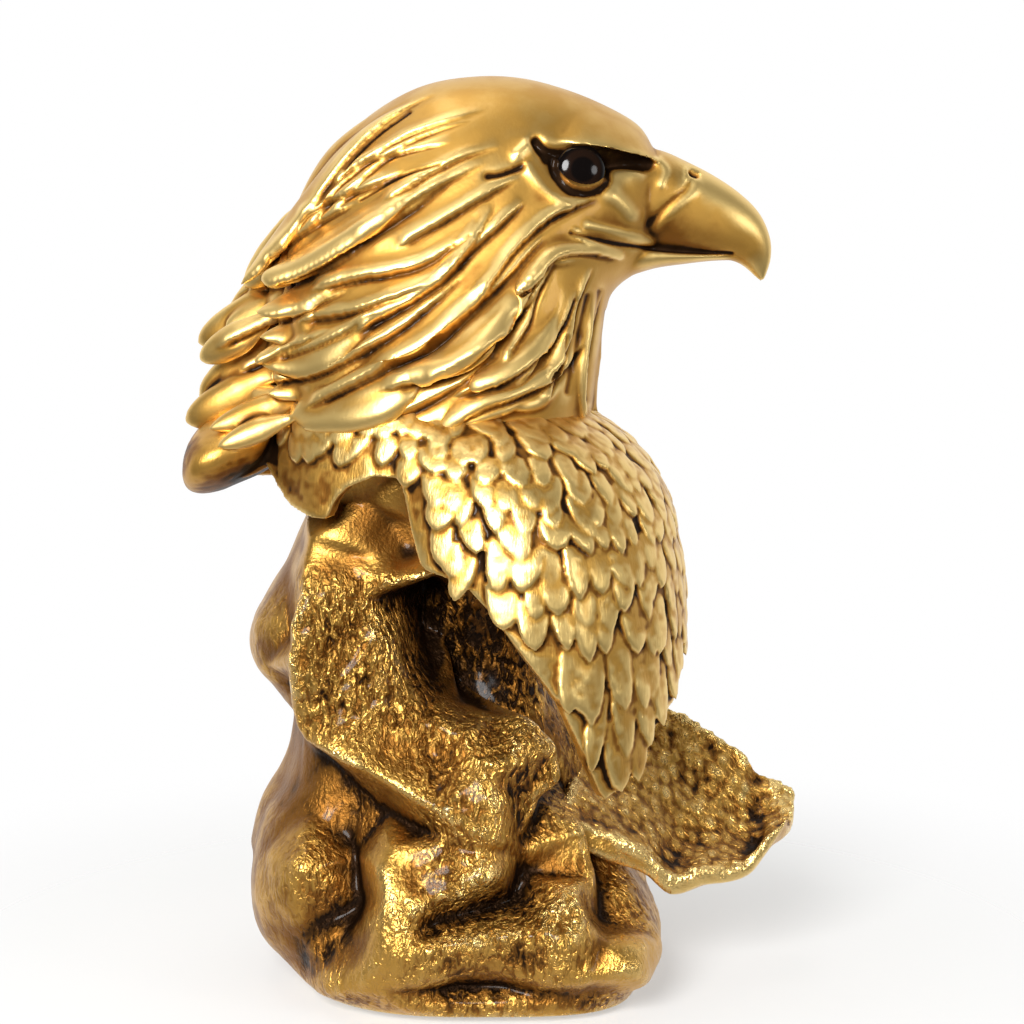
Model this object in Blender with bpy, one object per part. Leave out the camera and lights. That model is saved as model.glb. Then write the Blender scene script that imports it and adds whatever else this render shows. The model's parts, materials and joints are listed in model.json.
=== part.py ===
"""Eagle bust on a rock, with a hidden socket for a flag pole behind the bust.

Four castings (rock, ledge, cape, head) are pinned together, weighted and closed from below.
Outlines are drawn as sketch points of a front view and turned into metres by sketch().
"""

import math

import bmesh
import bpy
import numpy as np

MM = 0.001

# Overall sizes
STATUE_HEIGHT = 250 * MM
STATUE_DEPTH = 150 * MM
DRAWN_DEPTH = 150 * MM
DEPTH_STRETCH = STATUE_DEPTH / DRAWN_DEPTH

# Fits and walls
FIT_GAP = 0.3 * MM
LEDGE_GAP = FIT_GAP * DEPTH_STRETCH ** 2
CAPE_WALL = 5 * MM
ROCK_SEED = 7
SMOOTH_ANGLE = math.radians(35)

# Front view that the sketch points are drawn in
SKETCH_MIDDLE = 512
SKETCH_FOCUS = 2418
SKETCH_DISTANCE = 2.674 * STATUE_HEIGHT
SKETCH_AIM = 0.5237 * STATUE_HEIGHT
SKETCH_TILT = math.radians(7)

# Neck: the rock's spigot passes through the cape into the head, at heights that follow the outlines
NECK_SKETCH = (432, 430)
SPIGOT_DIAMETER = 36 * MM
PLATFORM_RADIUS = 35 * MM
PLATFORM_HEIGHT = 0.512 * STATUE_HEIGHT
COLLAR_HEIGHT = 0.62 * STATUE_HEIGHT
SPIGOT_TOP = 0.74 * STATUE_HEIGHT
FLANGE_RADIUS = 35 * MM

# Eyes
EYE_DIAMETER = 12 * MM
EYE_EDGE = 2.5 * MM
EYE_DOME = 4 * MM
EYE_SKETCH = (582, 167)
EYE_BACK_DEPTH = 19 * MM
EYE_DOME_ANGLE = math.radians(78)
EYE_LOOK = (0.25, 0.05)

# Dowels
DOWEL_DIAMETER = 4 * MM
DOWEL_LENGTH = 14 * MM
DOWEL_CIRCLE = 27 * MM
LEDGE_DOWEL_LENGTH = 18 * MM
LEDGE_DOWELS = ((620, 838, -9), (624, 785, 9))

# Base, plate, screws and pads
PAD_DIAMETER = 9 * MM
PAD_THICKNESS = 1.5 * MM
PLATE_MIDDLE = (-6 * MM, 6 * MM)
PLATE_HALF = (30 * MM, 38 * MM)
PLATE_THICKNESS = 4 * MM
PLATE_RECESS = 6 * MM
CAVITY_HALF = (21 * MM, 27 * MM)
CAVITY_TOP_HALF = (12 * MM, 12 * MM)
CAVITY_HEIGHT = 75 * MM
BALLAST_HEIGHT = 30 * MM
SCREW_HALF = (25.5 * MM, 32.5 * MM)
SCREW_DIAMETER = 3 * MM
SCREW_LENGTH = 11 * MM
SCREW_HEAD_DIAMETER = 6 * MM
SCREW_HEAD_HEIGHT = 2 * MM
PAD_HALF = (38 * MM, 49 * MM)
ARCH_RADIUS = 60 * MM
ARCH_RISE = 4 * MM
ARCH_SKETCH = (495, 995)
ARCH_START = 2
ARCH_REACH = 1.3

# Pole socket in a boss behind the bust
POLE_BORE = 13 * MM
SLEEVE_WALL = 1 * MM
SLEEVE_DEPTH = 56 * MM
SLEEVE_LIP_DIAMETER = 21 * MM
SLEEVE_LIP = 1.2 * MM
CUSHION_THICKNESS = 2 * MM
BOSS_MIDDLE = (-14 * MM, 66 * MM)
BOSS_HEIGHT = 75 * MM
BOSS_RADIUS = 15.5 * MM
BOSS_FOOT_RADIUS = 21 * MM
BOSS_CRAG = 1.5 * MM
BOSS_FOOT_LIFT = 2 * MM

# Head: crown and nape edge, throat edge (sketch), half width
HEAD_STATIONS = (
    (655, 152, 648, 262, 8),
    (640, 127, 634, 274, 15),
    (612, 109, 620, 284, 20),
    (570, 91, 610, 296, 23.5),
    (520, 78, 606, 312, 27),
    (470, 77, 604, 330, 30),
    (420, 87, 602, 348, 33),
    (372, 114, 599, 366, 35.5),
    (332, 153, 596, 384, 38),
    (303, 203, 594, 396, 40),
    (282, 250, 593, 404, 41.5),
    (264, 300, 592, 411, 42),
    (253, 350, 592, 417, 42),
    (251, 395, 592, 421, 41.5),
    (256, 425, 592, 425, 41),
)
BEAK_STATIONS = (
    (632, 165, 626, 262, 10),
    (662, 152, 652, 266, 11),
    (690, 164, 682, 263, 10),
    (718, 179, 708, 259, 8.6),
    (742, 196, 726, 260, 7),
    (760, 215, 738, 264, 5.2),
    (770, 238, 748, 270, 3.6),
    (771, 258, 755, 277, 2.2),
    (765, 279, 761, 282, 0.8),
)
# Brows and the locks that stand out behind the nape: root, tip (sketch), half width, depth
HEAD_LOCKS = (
    (515, 142, 655, 156, 5.5, -17.3),
    (515, 142, 655, 156, 5.5, 17.3),
    (350, 190, 236, 297, 10, -4),
    (350, 250, 197, 343, 11, -10),
    (350, 260, 206, 352, 11, 12),
    (350, 320, 205, 402, 11, 1),
    (385, 235, 236, 330, 11, 25),
    (385, 235, 240, 345, 11, -25),
)
LOCK_BEND = 1.3
LOCK_TAPER = 2.2
LOCK_FLATNESS = 0.5
LOCK_TIP = 0.01
MANE_FLUTES = 16
MANE_FLUTE_DEPTH = 1.1 * MM

# Cape: bearing (degrees), neck radius, spread, rim height (parts of the statue height)
CAPE_STATIONS = (
    (-180, 46, 20, 0.550),
    (-168, 45, 6, 0.540),
    (-158, 45, 3, 0.520),
    (-142, 44, 4, 0.518),
    (-124, 43, 5, 0.524),
    (-110, 42, 6, 0.580),
    (-98, 42, 7, 0.555),
    (-94, 42, 9, 0.468),
    (-82, 42, 16, 0.445),
    (-67, 42.5, 25, 0.395),
    (-54, 43, 28, 0.300),
    (-42, 43.5, 28, 0.215),
    (-30, 44, 28, 0.275),
    (-18, 44, 27, 0.335),
    (2, 44, 24, 0.43),
    (24, 43, 15, 0.49),
    (60, 42, 9, 0.53),
    (100, 42, 8, 0.53),
    (135, 44, 12, 0.535),
    (160, 46, 24, 0.545),
    (180, 46, 20, 0.550),
)
CAPE_SPREAD_DROP = 14 * MM
CAPE_STEPS = 9
CAPE_STEP_POWER = 1.3
CAPE_INNER_STEPS = (8, 6, 4)
CAPE_INNER_LIFT = 0.9
SHOULDER_LIFT = 0.4
RIM_EDGE = 1.5 * MM

# Rock: left outline, right outline (sketch), near depth, far depth
ROCK_STATIONS = (
    (290, 957, 632, 957, -46, 60),
    (268, 940, 640, 942, -49, 63),
    (254, 910, 658, 910, -49, 64),
    (251, 870, 648, 880, -47, 63),
    (257, 828, 625, 842, -43, 62),
    (266, 796, 606, 804, -40, 60),
    (283, 766, 592, 768, -38, 57),
    (292, 736, 580, 736, -37, 51),
    (291, 704, 566, 704, -36, 45),
    (278, 681, 553, 679, -35, 40),
    (256, 652, 545, 650, -34, 37),
    (253, 624, 538, 622, -34, 35),
    (266, 594, 533, 594, -34, 35),
    (284, 562, 530, 564, -34, 35),
)
ROCK_CRAG = 0.09
ROCK_SQUARENESS = 0.85

# Ledge: near edge and far edge (sketch), edge thickness
LEDGE_STATIONS = (
    (560, 812, 590, 668, 16),
    (600, 832, 632, 686, 15),
    (640, 852, 672, 708, 12),
    (674, 878, 704, 724, 9),
    (702, 872, 732, 742, 7),
    (728, 872, 748, 753, 6),
    (749, 864, 760, 771, 5),
    (766, 838, 778, 778, 4.5),
    (788, 824, 792, 788, 4),
)
LEDGE_NEAR_DEPTH = -25 * MM
LEDGE_FAR_DEPTH = 25 * MM
LEDGE_DISH = 5 * MM
LEDGE_RIM_SHARE = 0.55
LEDGE_TIP_DEPTH = 0.5

MATERIALS = {}


def deep(value):
    """A drawn depth, stretched with the statue's depth."""
    return value * DEPTH_STRETCH


def sketch(across, down, depth):
    """Point in metres of a sketch point that lies at the given depth."""
    right = (across - SKETCH_MIDDLE) / SKETCH_FOCUS
    up = (SKETCH_MIDDLE - down) / SKETCH_FOCUS
    slope_y = up * math.sin(SKETCH_TILT) + math.cos(SKETCH_TILT)
    slope_z = up * math.cos(SKETCH_TILT) - math.sin(SKETCH_TILT)
    reach = (depth + SKETCH_DISTANCE * math.cos(SKETCH_TILT)) / slope_y
    height = SKETCH_AIM + SKETCH_DISTANCE * math.sin(SKETCH_TILT) + reach * slope_z
    return np.stack(np.broadcast_arrays(reach * right, depth, height), axis=-1)


def through(stations, count):
    """Smooth curve through rows of values, resampled to count rows."""
    rows = np.asarray(stations, dtype=float)
    place = np.linspace(0, len(rows) - 1, count)
    low = np.minimum(place.astype(int), len(rows) - 2)
    part = (place - low)[:, None]
    slope = np.gradient(rows, axis=0)
    start, end = rows[low], rows[low + 1]
    rise, fall = slope[low], slope[low + 1]
    square, cube = part ** 2, part ** 3
    return ((2 * cube - 3 * square + 1) * start + (cube - 2 * square + part) * rise
            + (3 * square - 2 * cube) * end + (cube - square) * fall)


def finish(name, colour, roughness, metallic):
    """Material of one finish, made once."""
    if name not in MATERIALS:
        made = bpy.data.materials.new(name)
        made.use_nodes = True
        shader = made.node_tree.nodes["Principled BSDF"]
        shader.inputs["Base Color"].default_value = (*colour, 1)
        shader.inputs["Roughness"].default_value = roughness
        shader.inputs["Metallic"].default_value = metallic
        MATERIALS[name] = made
    return MATERIALS[name]


def solid(name, points, faces, material=None):
    """Closed object from points and faces; one without a material is a cutter."""
    mesh = bpy.data.meshes.new(name)
    mesh.from_pydata([tuple(point) for point in points], [], faces)
    work = bmesh.new()
    work.from_mesh(mesh)
    bmesh.ops.recalc_face_normals(work, faces=work.faces)
    work.to_mesh(mesh)
    work.free()
    mesh.shade_smooth()
    mesh.set_sharp_from_angle(angle=SMOOTH_ANGLE)
    made = bpy.data.objects.new(name, mesh)
    bpy.context.scene.collection.objects.link(made)
    made.parent = ROOT
    if material is None:
        made.hide_render = True
        made.display_type = "WIRE"
    else:
        mesh.materials.append(material)
    return made


def ring_faces(rings, around, closed):
    """Quads between neighbouring rings, with end caps or closed into a loop."""
    faces = []
    for ring in range(rings if closed else rings - 1):
        after = (ring + 1) % rings
        for step in range(around):
            side = (step + 1) % around
            faces.append((ring * around + step, ring * around + side,
                          after * around + side, after * around + step))
    if not closed:
        faces.append(tuple(range(around)))
        faces.append(tuple(range((rings - 1) * around, rings * around)))
    return faces


def loft(name, rings, material=None, closed=False):
    """Solid through a stack of rings."""
    count, around = rings.shape[:2]
    return solid(name, rings.reshape(-1, 3), ring_faces(count, around, closed), material)


def turned(name, middle, axis, profile, material=None, around=24):
    """Solid turned about an axis; profile rows are distance along the axis and radius."""
    along = np.asarray(axis, dtype=float) / np.linalg.norm(axis)
    side = np.cross(along, (0.3, 0.5, 0.8))
    side = side / np.linalg.norm(side)
    other = np.cross(along, side)
    angle = np.linspace(0, 2 * math.pi, around, endpoint=False)[:, None]
    circle = np.cos(angle) * side + np.sin(angle) * other
    rings = [np.asarray(middle) + along * reach + circle * radius for reach, radius in profile]
    return loft(name, np.array(rings), material)


def cut(target, cutter):
    """Take the cutter out of the target, and return the modifier that does it."""
    modifier = target.modifiers.new("cut_" + cutter.name, "BOOLEAN")
    modifier.operation = "DIFFERENCE"
    modifier.object = cutter
    return modifier


def join(target, other):
    """Add the other solid to the target."""
    modifier = target.modifiers.new("join_" + other.name, "BOOLEAN")
    modifier.operation = "UNION"
    modifier.object = other


def oval(middle, half, height, around=40):
    """Level oval ring."""
    angle = np.linspace(0, 2 * math.pi, around, endpoint=False)
    return np.stack((middle[0] + half[0] * np.cos(angle), middle[1] + half[1] * np.sin(angle),
                     np.full(around, height)), axis=-1)


def fan(stations, rings, around, flutes=0.0):
    """Rings between an upper and a lower edge that lie in the middle plane."""
    rows = through(stations, rings)
    upper = sketch(rows[:, 0], rows[:, 1], 0.0)
    lower = sketch(rows[:, 2], rows[:, 3], 0.0)
    angle = np.linspace(0, 2 * math.pi, around, endpoint=False)[None, :, None]
    middle = (upper + lower)[:, None] / 2
    reach = (upper - lower)[:, None] / 2
    wide = np.zeros((rings, 1, 3))
    wide[:, 0, 1] = deep(rows[:, 4] * MM)
    points = middle + reach * np.cos(angle) + wide * np.sin(angle)
    growth = np.linspace(0, 1, rings)[:, None, None]
    outward = (points - middle) / np.linalg.norm(points - middle, axis=2, keepdims=True)
    return points + outward * flutes * growth * np.cos(MANE_FLUTES * angle)


def neck():
    """Middle of the neck, level with the floor."""
    across = sketch(NECK_SKETCH[0], NECK_SKETCH[1], 0.0)[0]
    return np.array((across, 0.0, 0.0))


def rock_rings(grow):
    """Rings of the rock with its platform and spigot, grown by a clearance."""
    around = 36
    rows = through(ROCK_STATIONS, 22)
    near = deep(rows[:, 4] * MM)
    far = deep(rows[:, 5] * MM)
    depth = (near + far) / 2
    left = sketch(rows[:, 0], rows[:, 1], depth)
    right = sketch(rows[:, 2], rows[:, 3], depth)
    angle = np.linspace(0, 2 * math.pi, around, endpoint=False)[None, :]
    across = np.sign(np.cos(angle)) * np.abs(np.cos(angle)) ** ROCK_SQUARENESS
    through_depth = np.sign(np.sin(angle)) * np.abs(np.sin(angle)) ** ROCK_SQUARENESS
    crag = np.random.default_rng(ROCK_SEED).uniform(-1, 1, (len(rows), around))
    crag = (crag + np.roll(crag, 1, axis=1)) / 2
    crag[0] = 0
    push = 1 + ROCK_CRAG * crag * np.abs(np.sin(angle))
    half = (right - left)[:, None] / 2
    clearance = 1 + grow / np.linalg.norm(half, axis=2)
    points = (left + right)[:, None] / 2 + half * (across * clearance)[..., None]
    points[..., 1] += ((far - near)[:, None] / 2 + grow) * through_depth * push
    points[0, :, 2] = PAD_THICKNESS
    platform = (PLATFORM_RADIUS + grow, PLATFORM_RADIUS + grow)
    spigot = (SPIGOT_DIAMETER / 2 + grow, SPIGOT_DIAMETER / 2 + grow)
    top = (oval(neck(), platform, PLATFORM_HEIGHT + grow, around),
           oval(neck(), spigot, PLATFORM_HEIGHT + grow, around),
           oval(neck(), spigot, SPIGOT_TOP + grow, around))
    return np.concatenate((points, np.array(top)))


def sunk(height):
    """Height above the underside of the rock."""
    return PAD_THICKNESS + height


def post(name, middle, low, high, diameter, material=None):
    """Upright round post or hole."""
    at = (middle[0], middle[1], low)
    return turned(name, at, (0, 0, 1), ((0, diameter / 2), (high - low, diameter / 2)), material)


def corner(half, number):
    """One of four places on an oval about the plate's middle."""
    angle = math.pi / 4 + number * math.pi / 2
    return (PLATE_MIDDLE[0] + half[0] * math.cos(angle),
            deep(PLATE_MIDDLE[1]) + half[1] * math.sin(angle))


def plate_middle():
    """Middle of the plate, which follows the depth of the rock."""
    return (PLATE_MIDDLE[0], deep(PLATE_MIDDLE[1]))


def pole_middle():
    """Axis of the pole socket."""
    return (BOSS_MIDDLE[0], deep(BOSS_MIDDLE[1]))


def build_rock():
    """Hollow rock casting with the boss for the pole."""
    gilt = finish("gilt_rock", (0.62, 0.44, 0.16), 0.35, 0.0)
    rock = loft("rock_base", rock_rings(0.0), gilt)
    lift = (1.0, 0.75, 0.5, 0.25, 0.0)
    widths = [BOSS_FOOT_RADIUS * part + BOSS_RADIUS * (1 - part) for part in lift]
    heights = [sunk(BOSS_FOOT_LIFT) * part + BOSS_HEIGHT * (1 - part) for part in lift]
    rings = np.array([oval(pole_middle(), (wide, wide), high, 20) for wide, high in zip(widths, heights)])
    crag = np.random.default_rng(ROCK_SEED).uniform(0, BOSS_CRAG, rings.shape)
    crag[..., 2] = 0
    outward = np.sign(rings - np.array((*pole_middle(), 0)))
    join(rock, loft("boss_form", rings + crag * outward))
    pocket_top = sunk(PLATE_RECESS + PLATE_THICKNESS)
    pocket = (oval(plate_middle(), PLATE_HALF, -PAD_THICKNESS),
              oval(plate_middle(), PLATE_HALF, pocket_top),
              oval(plate_middle(), CAVITY_HALF, pocket_top),
              oval(neck(), CAVITY_TOP_HALF, CAVITY_HEIGHT))
    cut(rock, loft("cavity_form", np.array(pocket)))
    arch = sketch(ARCH_SKETCH[0], ARCH_SKETCH[1], deep(ROCK_STATIONS[0][4] * MM))
    arch_at = (arch[0], arch[1] * ARCH_START, sunk(ARCH_RISE) - ARCH_RADIUS)
    arch_run = abs(arch[1]) * ARCH_REACH
    cut(rock, turned("arch_form", arch_at, (0, 1, 0), ((0, ARCH_RADIUS), (arch_run, ARCH_RADIUS)),
                     around=96))
    hole = POLE_BORE + 2 * SLEEVE_WALL + 2 * FIT_GAP
    cut(rock, post("socket_form", pole_middle(), BOSS_HEIGHT - SLEEVE_DEPTH, STATUE_HEIGHT, hole))
    return rock


def build_cape():
    """Collar and bib: one profile carried round the neck."""
    gilt = finish("gilt_feathers", (0.66, 0.47, 0.17), 0.32, 0.0)
    rows = np.asarray(CAPE_STATIONS, dtype=float)
    bearing = np.linspace(-180, 180, 60, endpoint=False)
    value = [np.interp(bearing, rows[:, 0], rows[:, column]) for column in (1, 2, 3)]
    throat, spread, rim = value[0] * MM, value[1] * MM, value[2] * STATUE_HEIGHT
    drop = np.linspace(0, 1, CAPE_STEPS)[:, None] ** CAPE_STEP_POWER * (COLLAR_HEIGHT - rim)
    outer = throat + spread * (1 - np.exp(-drop / CAPE_SPREAD_DROP))
    height = COLLAR_HEIGHT - drop
    under = PLATFORM_HEIGHT + FIT_GAP
    hole = np.full(len(bearing), SPIGOT_DIAMETER / 2 + FIT_GAP)
    flange = np.full(len(bearing), FLANGE_RADIUS)
    level = np.ones(len(bearing))
    shoulder = under + (COLLAR_HEIGHT - under) * SHOULDER_LIFT
    inner = np.maximum(outer - CAPE_WALL, FLANGE_RADIUS + FIT_GAP)
    radius = [hole, *outer]
    tall = [level * COLLAR_HEIGHT, *height]
    for step in CAPE_INNER_STEPS:
        radius.append(inner[step])
        tall.append(np.minimum(height[step], height[-1] + (height[step] - height[-1]) * CAPE_INNER_LIFT))
    radius += [flange, flange, hole]
    tall += [np.maximum(rim + RIM_EDGE, shoulder), level * under, level * under]
    turn = np.radians(bearing)
    radius, tall = np.array(radius), np.array(tall)
    middle = neck()
    points = np.stack((middle[0] + radius * np.cos(turn), deep(radius * np.sin(turn)), tall), axis=-1)
    return loft("feather_cape", points.transpose(1, 0, 2), gilt, closed=True)


def lock_rings(root, tip, half, depth):
    """Rings of one pointed lock."""
    steps, around = 8, 10
    part = np.linspace(0, 1, steps)
    start, end = np.array(root), np.array(tip)
    path = sketch(start[0] + (end[0] - start[0]) * part,
                  start[1] + (end[1] - start[1]) * part ** LOCK_BEND, deep(depth))
    width = half * np.sqrt(np.clip(1 - part ** LOCK_TAPER, LOCK_TIP, 1))
    angle = np.linspace(0, 2 * math.pi, around, endpoint=False)
    along = path[-1] - path[0]
    normal = np.array((along[2], 0, -along[0])) / np.linalg.norm(along)
    ring = np.cos(angle)[:, None] * np.array((0, 1, 0)) + np.sin(angle)[:, None] * normal * LOCK_FLATNESS
    return path[:, None] + width[:, None, None] * ring


def eye_axis(side):
    """Direction that an eye looks: outward and a little forward."""
    outward = np.array((EYE_LOOK[0], side, EYE_LOOK[1]))
    return outward / np.linalg.norm(outward)


def build_head():
    """Head, beak and mane casting with its sockets."""
    gilt = finish("gilt_feathers", (0.66, 0.47, 0.17), 0.32, 0.0)
    rings = fan(HEAD_STATIONS, 26, 48, MANE_FLUTE_DEPTH)
    rings[-1, :, 2] = COLLAR_HEIGHT + FIT_GAP
    head = loft("eagle_head", rings, gilt)
    join(head, loft("beak_form", fan(BEAK_STATIONS, 16, 16)))
    for number, (*root, tip_across, tip_down, half, depth) in enumerate(HEAD_LOCKS):
        rings = lock_rings(root, (tip_across, tip_down), half * MM, depth * MM)
        join(head, loft("lock_form_%d" % (number + 1), rings))
    below = STATUE_HEIGHT
    slab = oval(neck(), (below, below), PLATFORM_HEIGHT)
    top = oval(neck(), (below, below), COLLAR_HEIGHT + FIT_GAP)
    cut(head, loft("seat_form", np.array((slab, top))))
    cut(head, post("neck_form", neck(), PLATFORM_HEIGHT, SPIGOT_TOP + FIT_GAP,
                   SPIGOT_DIAMETER + 2 * FIT_GAP))
    return head


def build_eyes(head):
    """Glass eyes in round pockets."""
    glass = finish("eye_glass", (0.02, 0.015, 0.01), 0.05, 0.0)
    half = EYE_DIAMETER / 2
    for name, side in (("eye_left", 1), ("eye_right", -1)):
        depth = side * deep(EYE_BACK_DEPTH)
        middle = sketch(EYE_SKETCH[0], EYE_SKETCH[1], depth)
        bend = np.linspace(0, EYE_DOME_ANGLE, 6)
        profile = [(0.0, half)] + [(EYE_EDGE + EYE_DOME * math.sin(turn), half * math.cos(turn))
                                   for turn in bend]
        turned(name, middle, eye_axis(side), profile, glass)
        pocket = ((-FIT_GAP, half + FIT_GAP), (EYE_DIAMETER, half + FIT_GAP))
        pocket_form = turned(name + "_form", middle, eye_axis(side), pocket)
        cut(head, pocket_form).use_self = True


def build_ledge(rock):
    """Dish-like shelf, cut to the rock and pinned to it."""
    gilt = finish("gilt_rock", (0.62, 0.44, 0.16), 0.35, 0.0)
    rows = through(LEDGE_STATIONS, 16)
    part = np.linspace(0, 1, 9)[None, :, None]
    taper = np.linspace(1, LEDGE_TIP_DEPTH, len(rows))
    near = sketch(rows[:, 0], rows[:, 1], deep(LEDGE_NEAR_DEPTH) * taper)
    far = sketch(rows[:, 2], rows[:, 3], deep(LEDGE_FAR_DEPTH) * taper)
    top = near[:, None] * (1 - part) + far[:, None] * part
    hollow = 4 * part[..., 0] * (1 - part[..., 0])
    top[..., 2] -= LEDGE_DISH * hollow
    bottom = top.copy()
    bottom[..., 2] -= (rows[:, 4] * MM)[:, None] * (LEDGE_RIM_SHARE + (1 - LEDGE_RIM_SHARE) * hollow)
    ring = np.concatenate((top, bottom[:, ::-1]), axis=1)
    ledge = loft("rock_ledge", ring, gilt)
    cut(ledge, loft("rock_form", rock_rings(LEDGE_GAP)))
    steel = finish("pin_steel", (0.5, 0.5, 0.52), 0.35, 0.9)
    for number, (across, down, depth) in enumerate(LEDGE_DOWELS):
        middle = sketch(across, down, deep(depth * MM))
        name = "ledge_dowel_%d" % (number + 1)
        reach = LEDGE_DOWEL_LENGTH / 2
        thick = DOWEL_DIAMETER / 2
        turned(name, middle, (1, 0, 0), ((-reach, thick), (reach, thick)), steel, 16)
        wide, deep_end = thick + FIT_GAP, reach + FIT_GAP
        hole = turned(name + "_form", middle, (1, 0, 0), ((-deep_end, wide), (deep_end, wide)), None, 16)
        cut(ledge, hole)
        cut(rock, hole)
    return ledge


def build_dowels(kind, height, lower, upper, start):
    """Two upright locating pins between a lower and an upper casting."""
    steel = finish("pin_steel", (0.5, 0.5, 0.52), 0.35, 0.9)
    low, high = height - DOWEL_LENGTH / 2, height + DOWEL_LENGTH / 2
    for number in range(2):
        turn = start + number * math.pi
        middle = neck() + DOWEL_CIRCLE * np.array((math.cos(turn), math.sin(turn), 0))
        name = "%s_dowel_%d" % (kind, number + 1)
        post(name, middle, low, high, DOWEL_DIAMETER, steel)
        hole = post(name + "_form", middle, low - FIT_GAP, high + FIT_GAP, DOWEL_DIAMETER + 2 * FIT_GAP)
        cut(lower, hole)
        cut(upper, hole)


def build_base(rock):
    """Ballast, closing plate, screws and pads."""
    iron = finish("ballast_iron", (0.12, 0.12, 0.12), 0.7, 0.7)
    board = finish("plate_board", (0.05, 0.05, 0.05), 0.7, 0.0)
    steel = finish("screw_steel", (0.55, 0.55, 0.56), 0.35, 0.9)
    felt = finish("pad_felt", (0.03, 0.05, 0.03), 0.95, 0.0)
    plate_low = sunk(PLATE_RECESS)
    plate_high = plate_low + PLATE_THICKNESS - FIT_GAP
    edge = [half - FIT_GAP for half in PLATE_HALF]
    rings = (oval(plate_middle(), edge, plate_low), oval(plate_middle(), edge, plate_high))
    plate = loft("base_plate", np.array(rings), board)
    ballast_low = plate_high + FIT_GAP
    wide = [half - FIT_GAP for half in CAVITY_HALF]
    share = BALLAST_HEIGHT / (CAVITY_HEIGHT - sunk(PLATE_RECESS + PLATE_THICKNESS))
    narrow = [low + (high - low) * share - FIT_GAP for low, high in zip(CAVITY_HALF, CAVITY_TOP_HALF)]
    lean = [low + (high - low) * share for low, high in zip(plate_middle(), neck())]
    foot_high = sunk(PLATE_RECESS + PLATE_THICKNESS)
    rings = (oval(plate_middle(), wide, ballast_low), oval(plate_middle(), wide, foot_high),
             oval(lean, narrow, foot_high + BALLAST_HEIGHT))
    loft("ballast", np.array(rings), iron)
    for number in range(4):
        middle = corner(SCREW_HALF, number)
        head_top = plate_low - FIT_GAP
        name = "plate_screw_%d" % (number + 1)
        at = (middle[0], middle[1], head_top)
        thin, thick = SCREW_DIAMETER / 2, SCREW_HEAD_DIAMETER / 2
        profile = ((-SCREW_HEAD_HEIGHT, thick), (0, thick), (0, thin), (SCREW_LENGTH, thin))
        turned(name, at, (0, 0, 1), profile, steel)
        hole = post(name + "_form", middle, plate_low - FIT_GAP,
                    head_top + SCREW_LENGTH + FIT_GAP, SCREW_DIAMETER + 2 * FIT_GAP)
        cut(plate, hole)
        cut(rock, hole)
        post("foot_pad_%d" % (number + 1), corner(PAD_HALF, number), 0.0,
             PAD_THICKNESS - FIT_GAP, PAD_DIAMETER, felt)


def build_socket():
    """Brass sleeve with a lip, and the cushion that the pole stands on."""
    brass = finish("sleeve_brass", (0.7, 0.5, 0.2), 0.3, 0.9)
    rubber = finish("cushion_rubber", (0.03, 0.03, 0.03), 0.9, 0.0)
    bore = POLE_BORE / 2
    wall = bore + SLEEVE_WALL
    lip = SLEEVE_LIP_DIAMETER / 2
    low = BOSS_HEIGHT - SLEEVE_DEPTH + FIT_GAP
    seat = BOSS_HEIGHT + FIT_GAP
    profile = ((wall, low), (wall, seat), (lip, seat), (lip, seat + SLEEVE_LIP),
               (bore, seat + SLEEVE_LIP), (bore, low))
    rings = [oval(pole_middle(), (radius, radius), height) for radius, height in profile]
    loft("pole_sleeve", np.array(rings), brass, closed=True)
    post("pole_cushion", pole_middle(), low, low + CUSHION_THICKNESS,
         POLE_BORE - 2 * FIT_GAP, rubber)


def centre_on_origin():
    """Move the whole stand so that its box stands centred on the origin."""
    bpy.context.view_layer.update()
    shown = [thing for thing in bpy.context.scene.objects
             if thing.type == "MESH" and not thing.hide_render]
    graph = bpy.context.evaluated_depsgraph_get()
    corners = np.array([corner for thing in shown for corner in thing.evaluated_get(graph).bound_box])
    middle = (corners.min(axis=0) + corners.max(axis=0)) / 2
    ROOT.location = (-middle[0], -middle[1], 0)


for old in list(bpy.data.objects):
    bpy.data.objects.remove(old)
ROOT = bpy.data.objects.new("stand_origin", None)
bpy.context.scene.collection.objects.link(ROOT)

rock_base = build_rock()
feather_cape = build_cape()
eagle_head = build_head()
build_eyes(eagle_head)
build_ledge(rock_base)
build_dowels("cape", PLATFORM_HEIGHT, rock_base, feather_cape, 0.0)
build_dowels("head", COLLAR_HEIGHT, feather_cape, eagle_head, math.pi / 2)
build_base(rock_base)
build_socket()
centre_on_origin()
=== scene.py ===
"""Looks of the gilt eagle bust: sculpted castings, glass eyes, base fittings, studio and camera."""

import json
import logging
import math
from dataclasses import dataclass, field
from enum import Enum
from typing import Dict, List, Optional, Sequence, Tuple, Union

import bpy
import numpy as np
from bpy.types import Material, Mesh, Node, NodeSocket, NodeTree
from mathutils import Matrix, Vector
from mathutils.bvhtree import BVHTree
from mathutils.geometry import delaunay_2d_cdt

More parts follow.
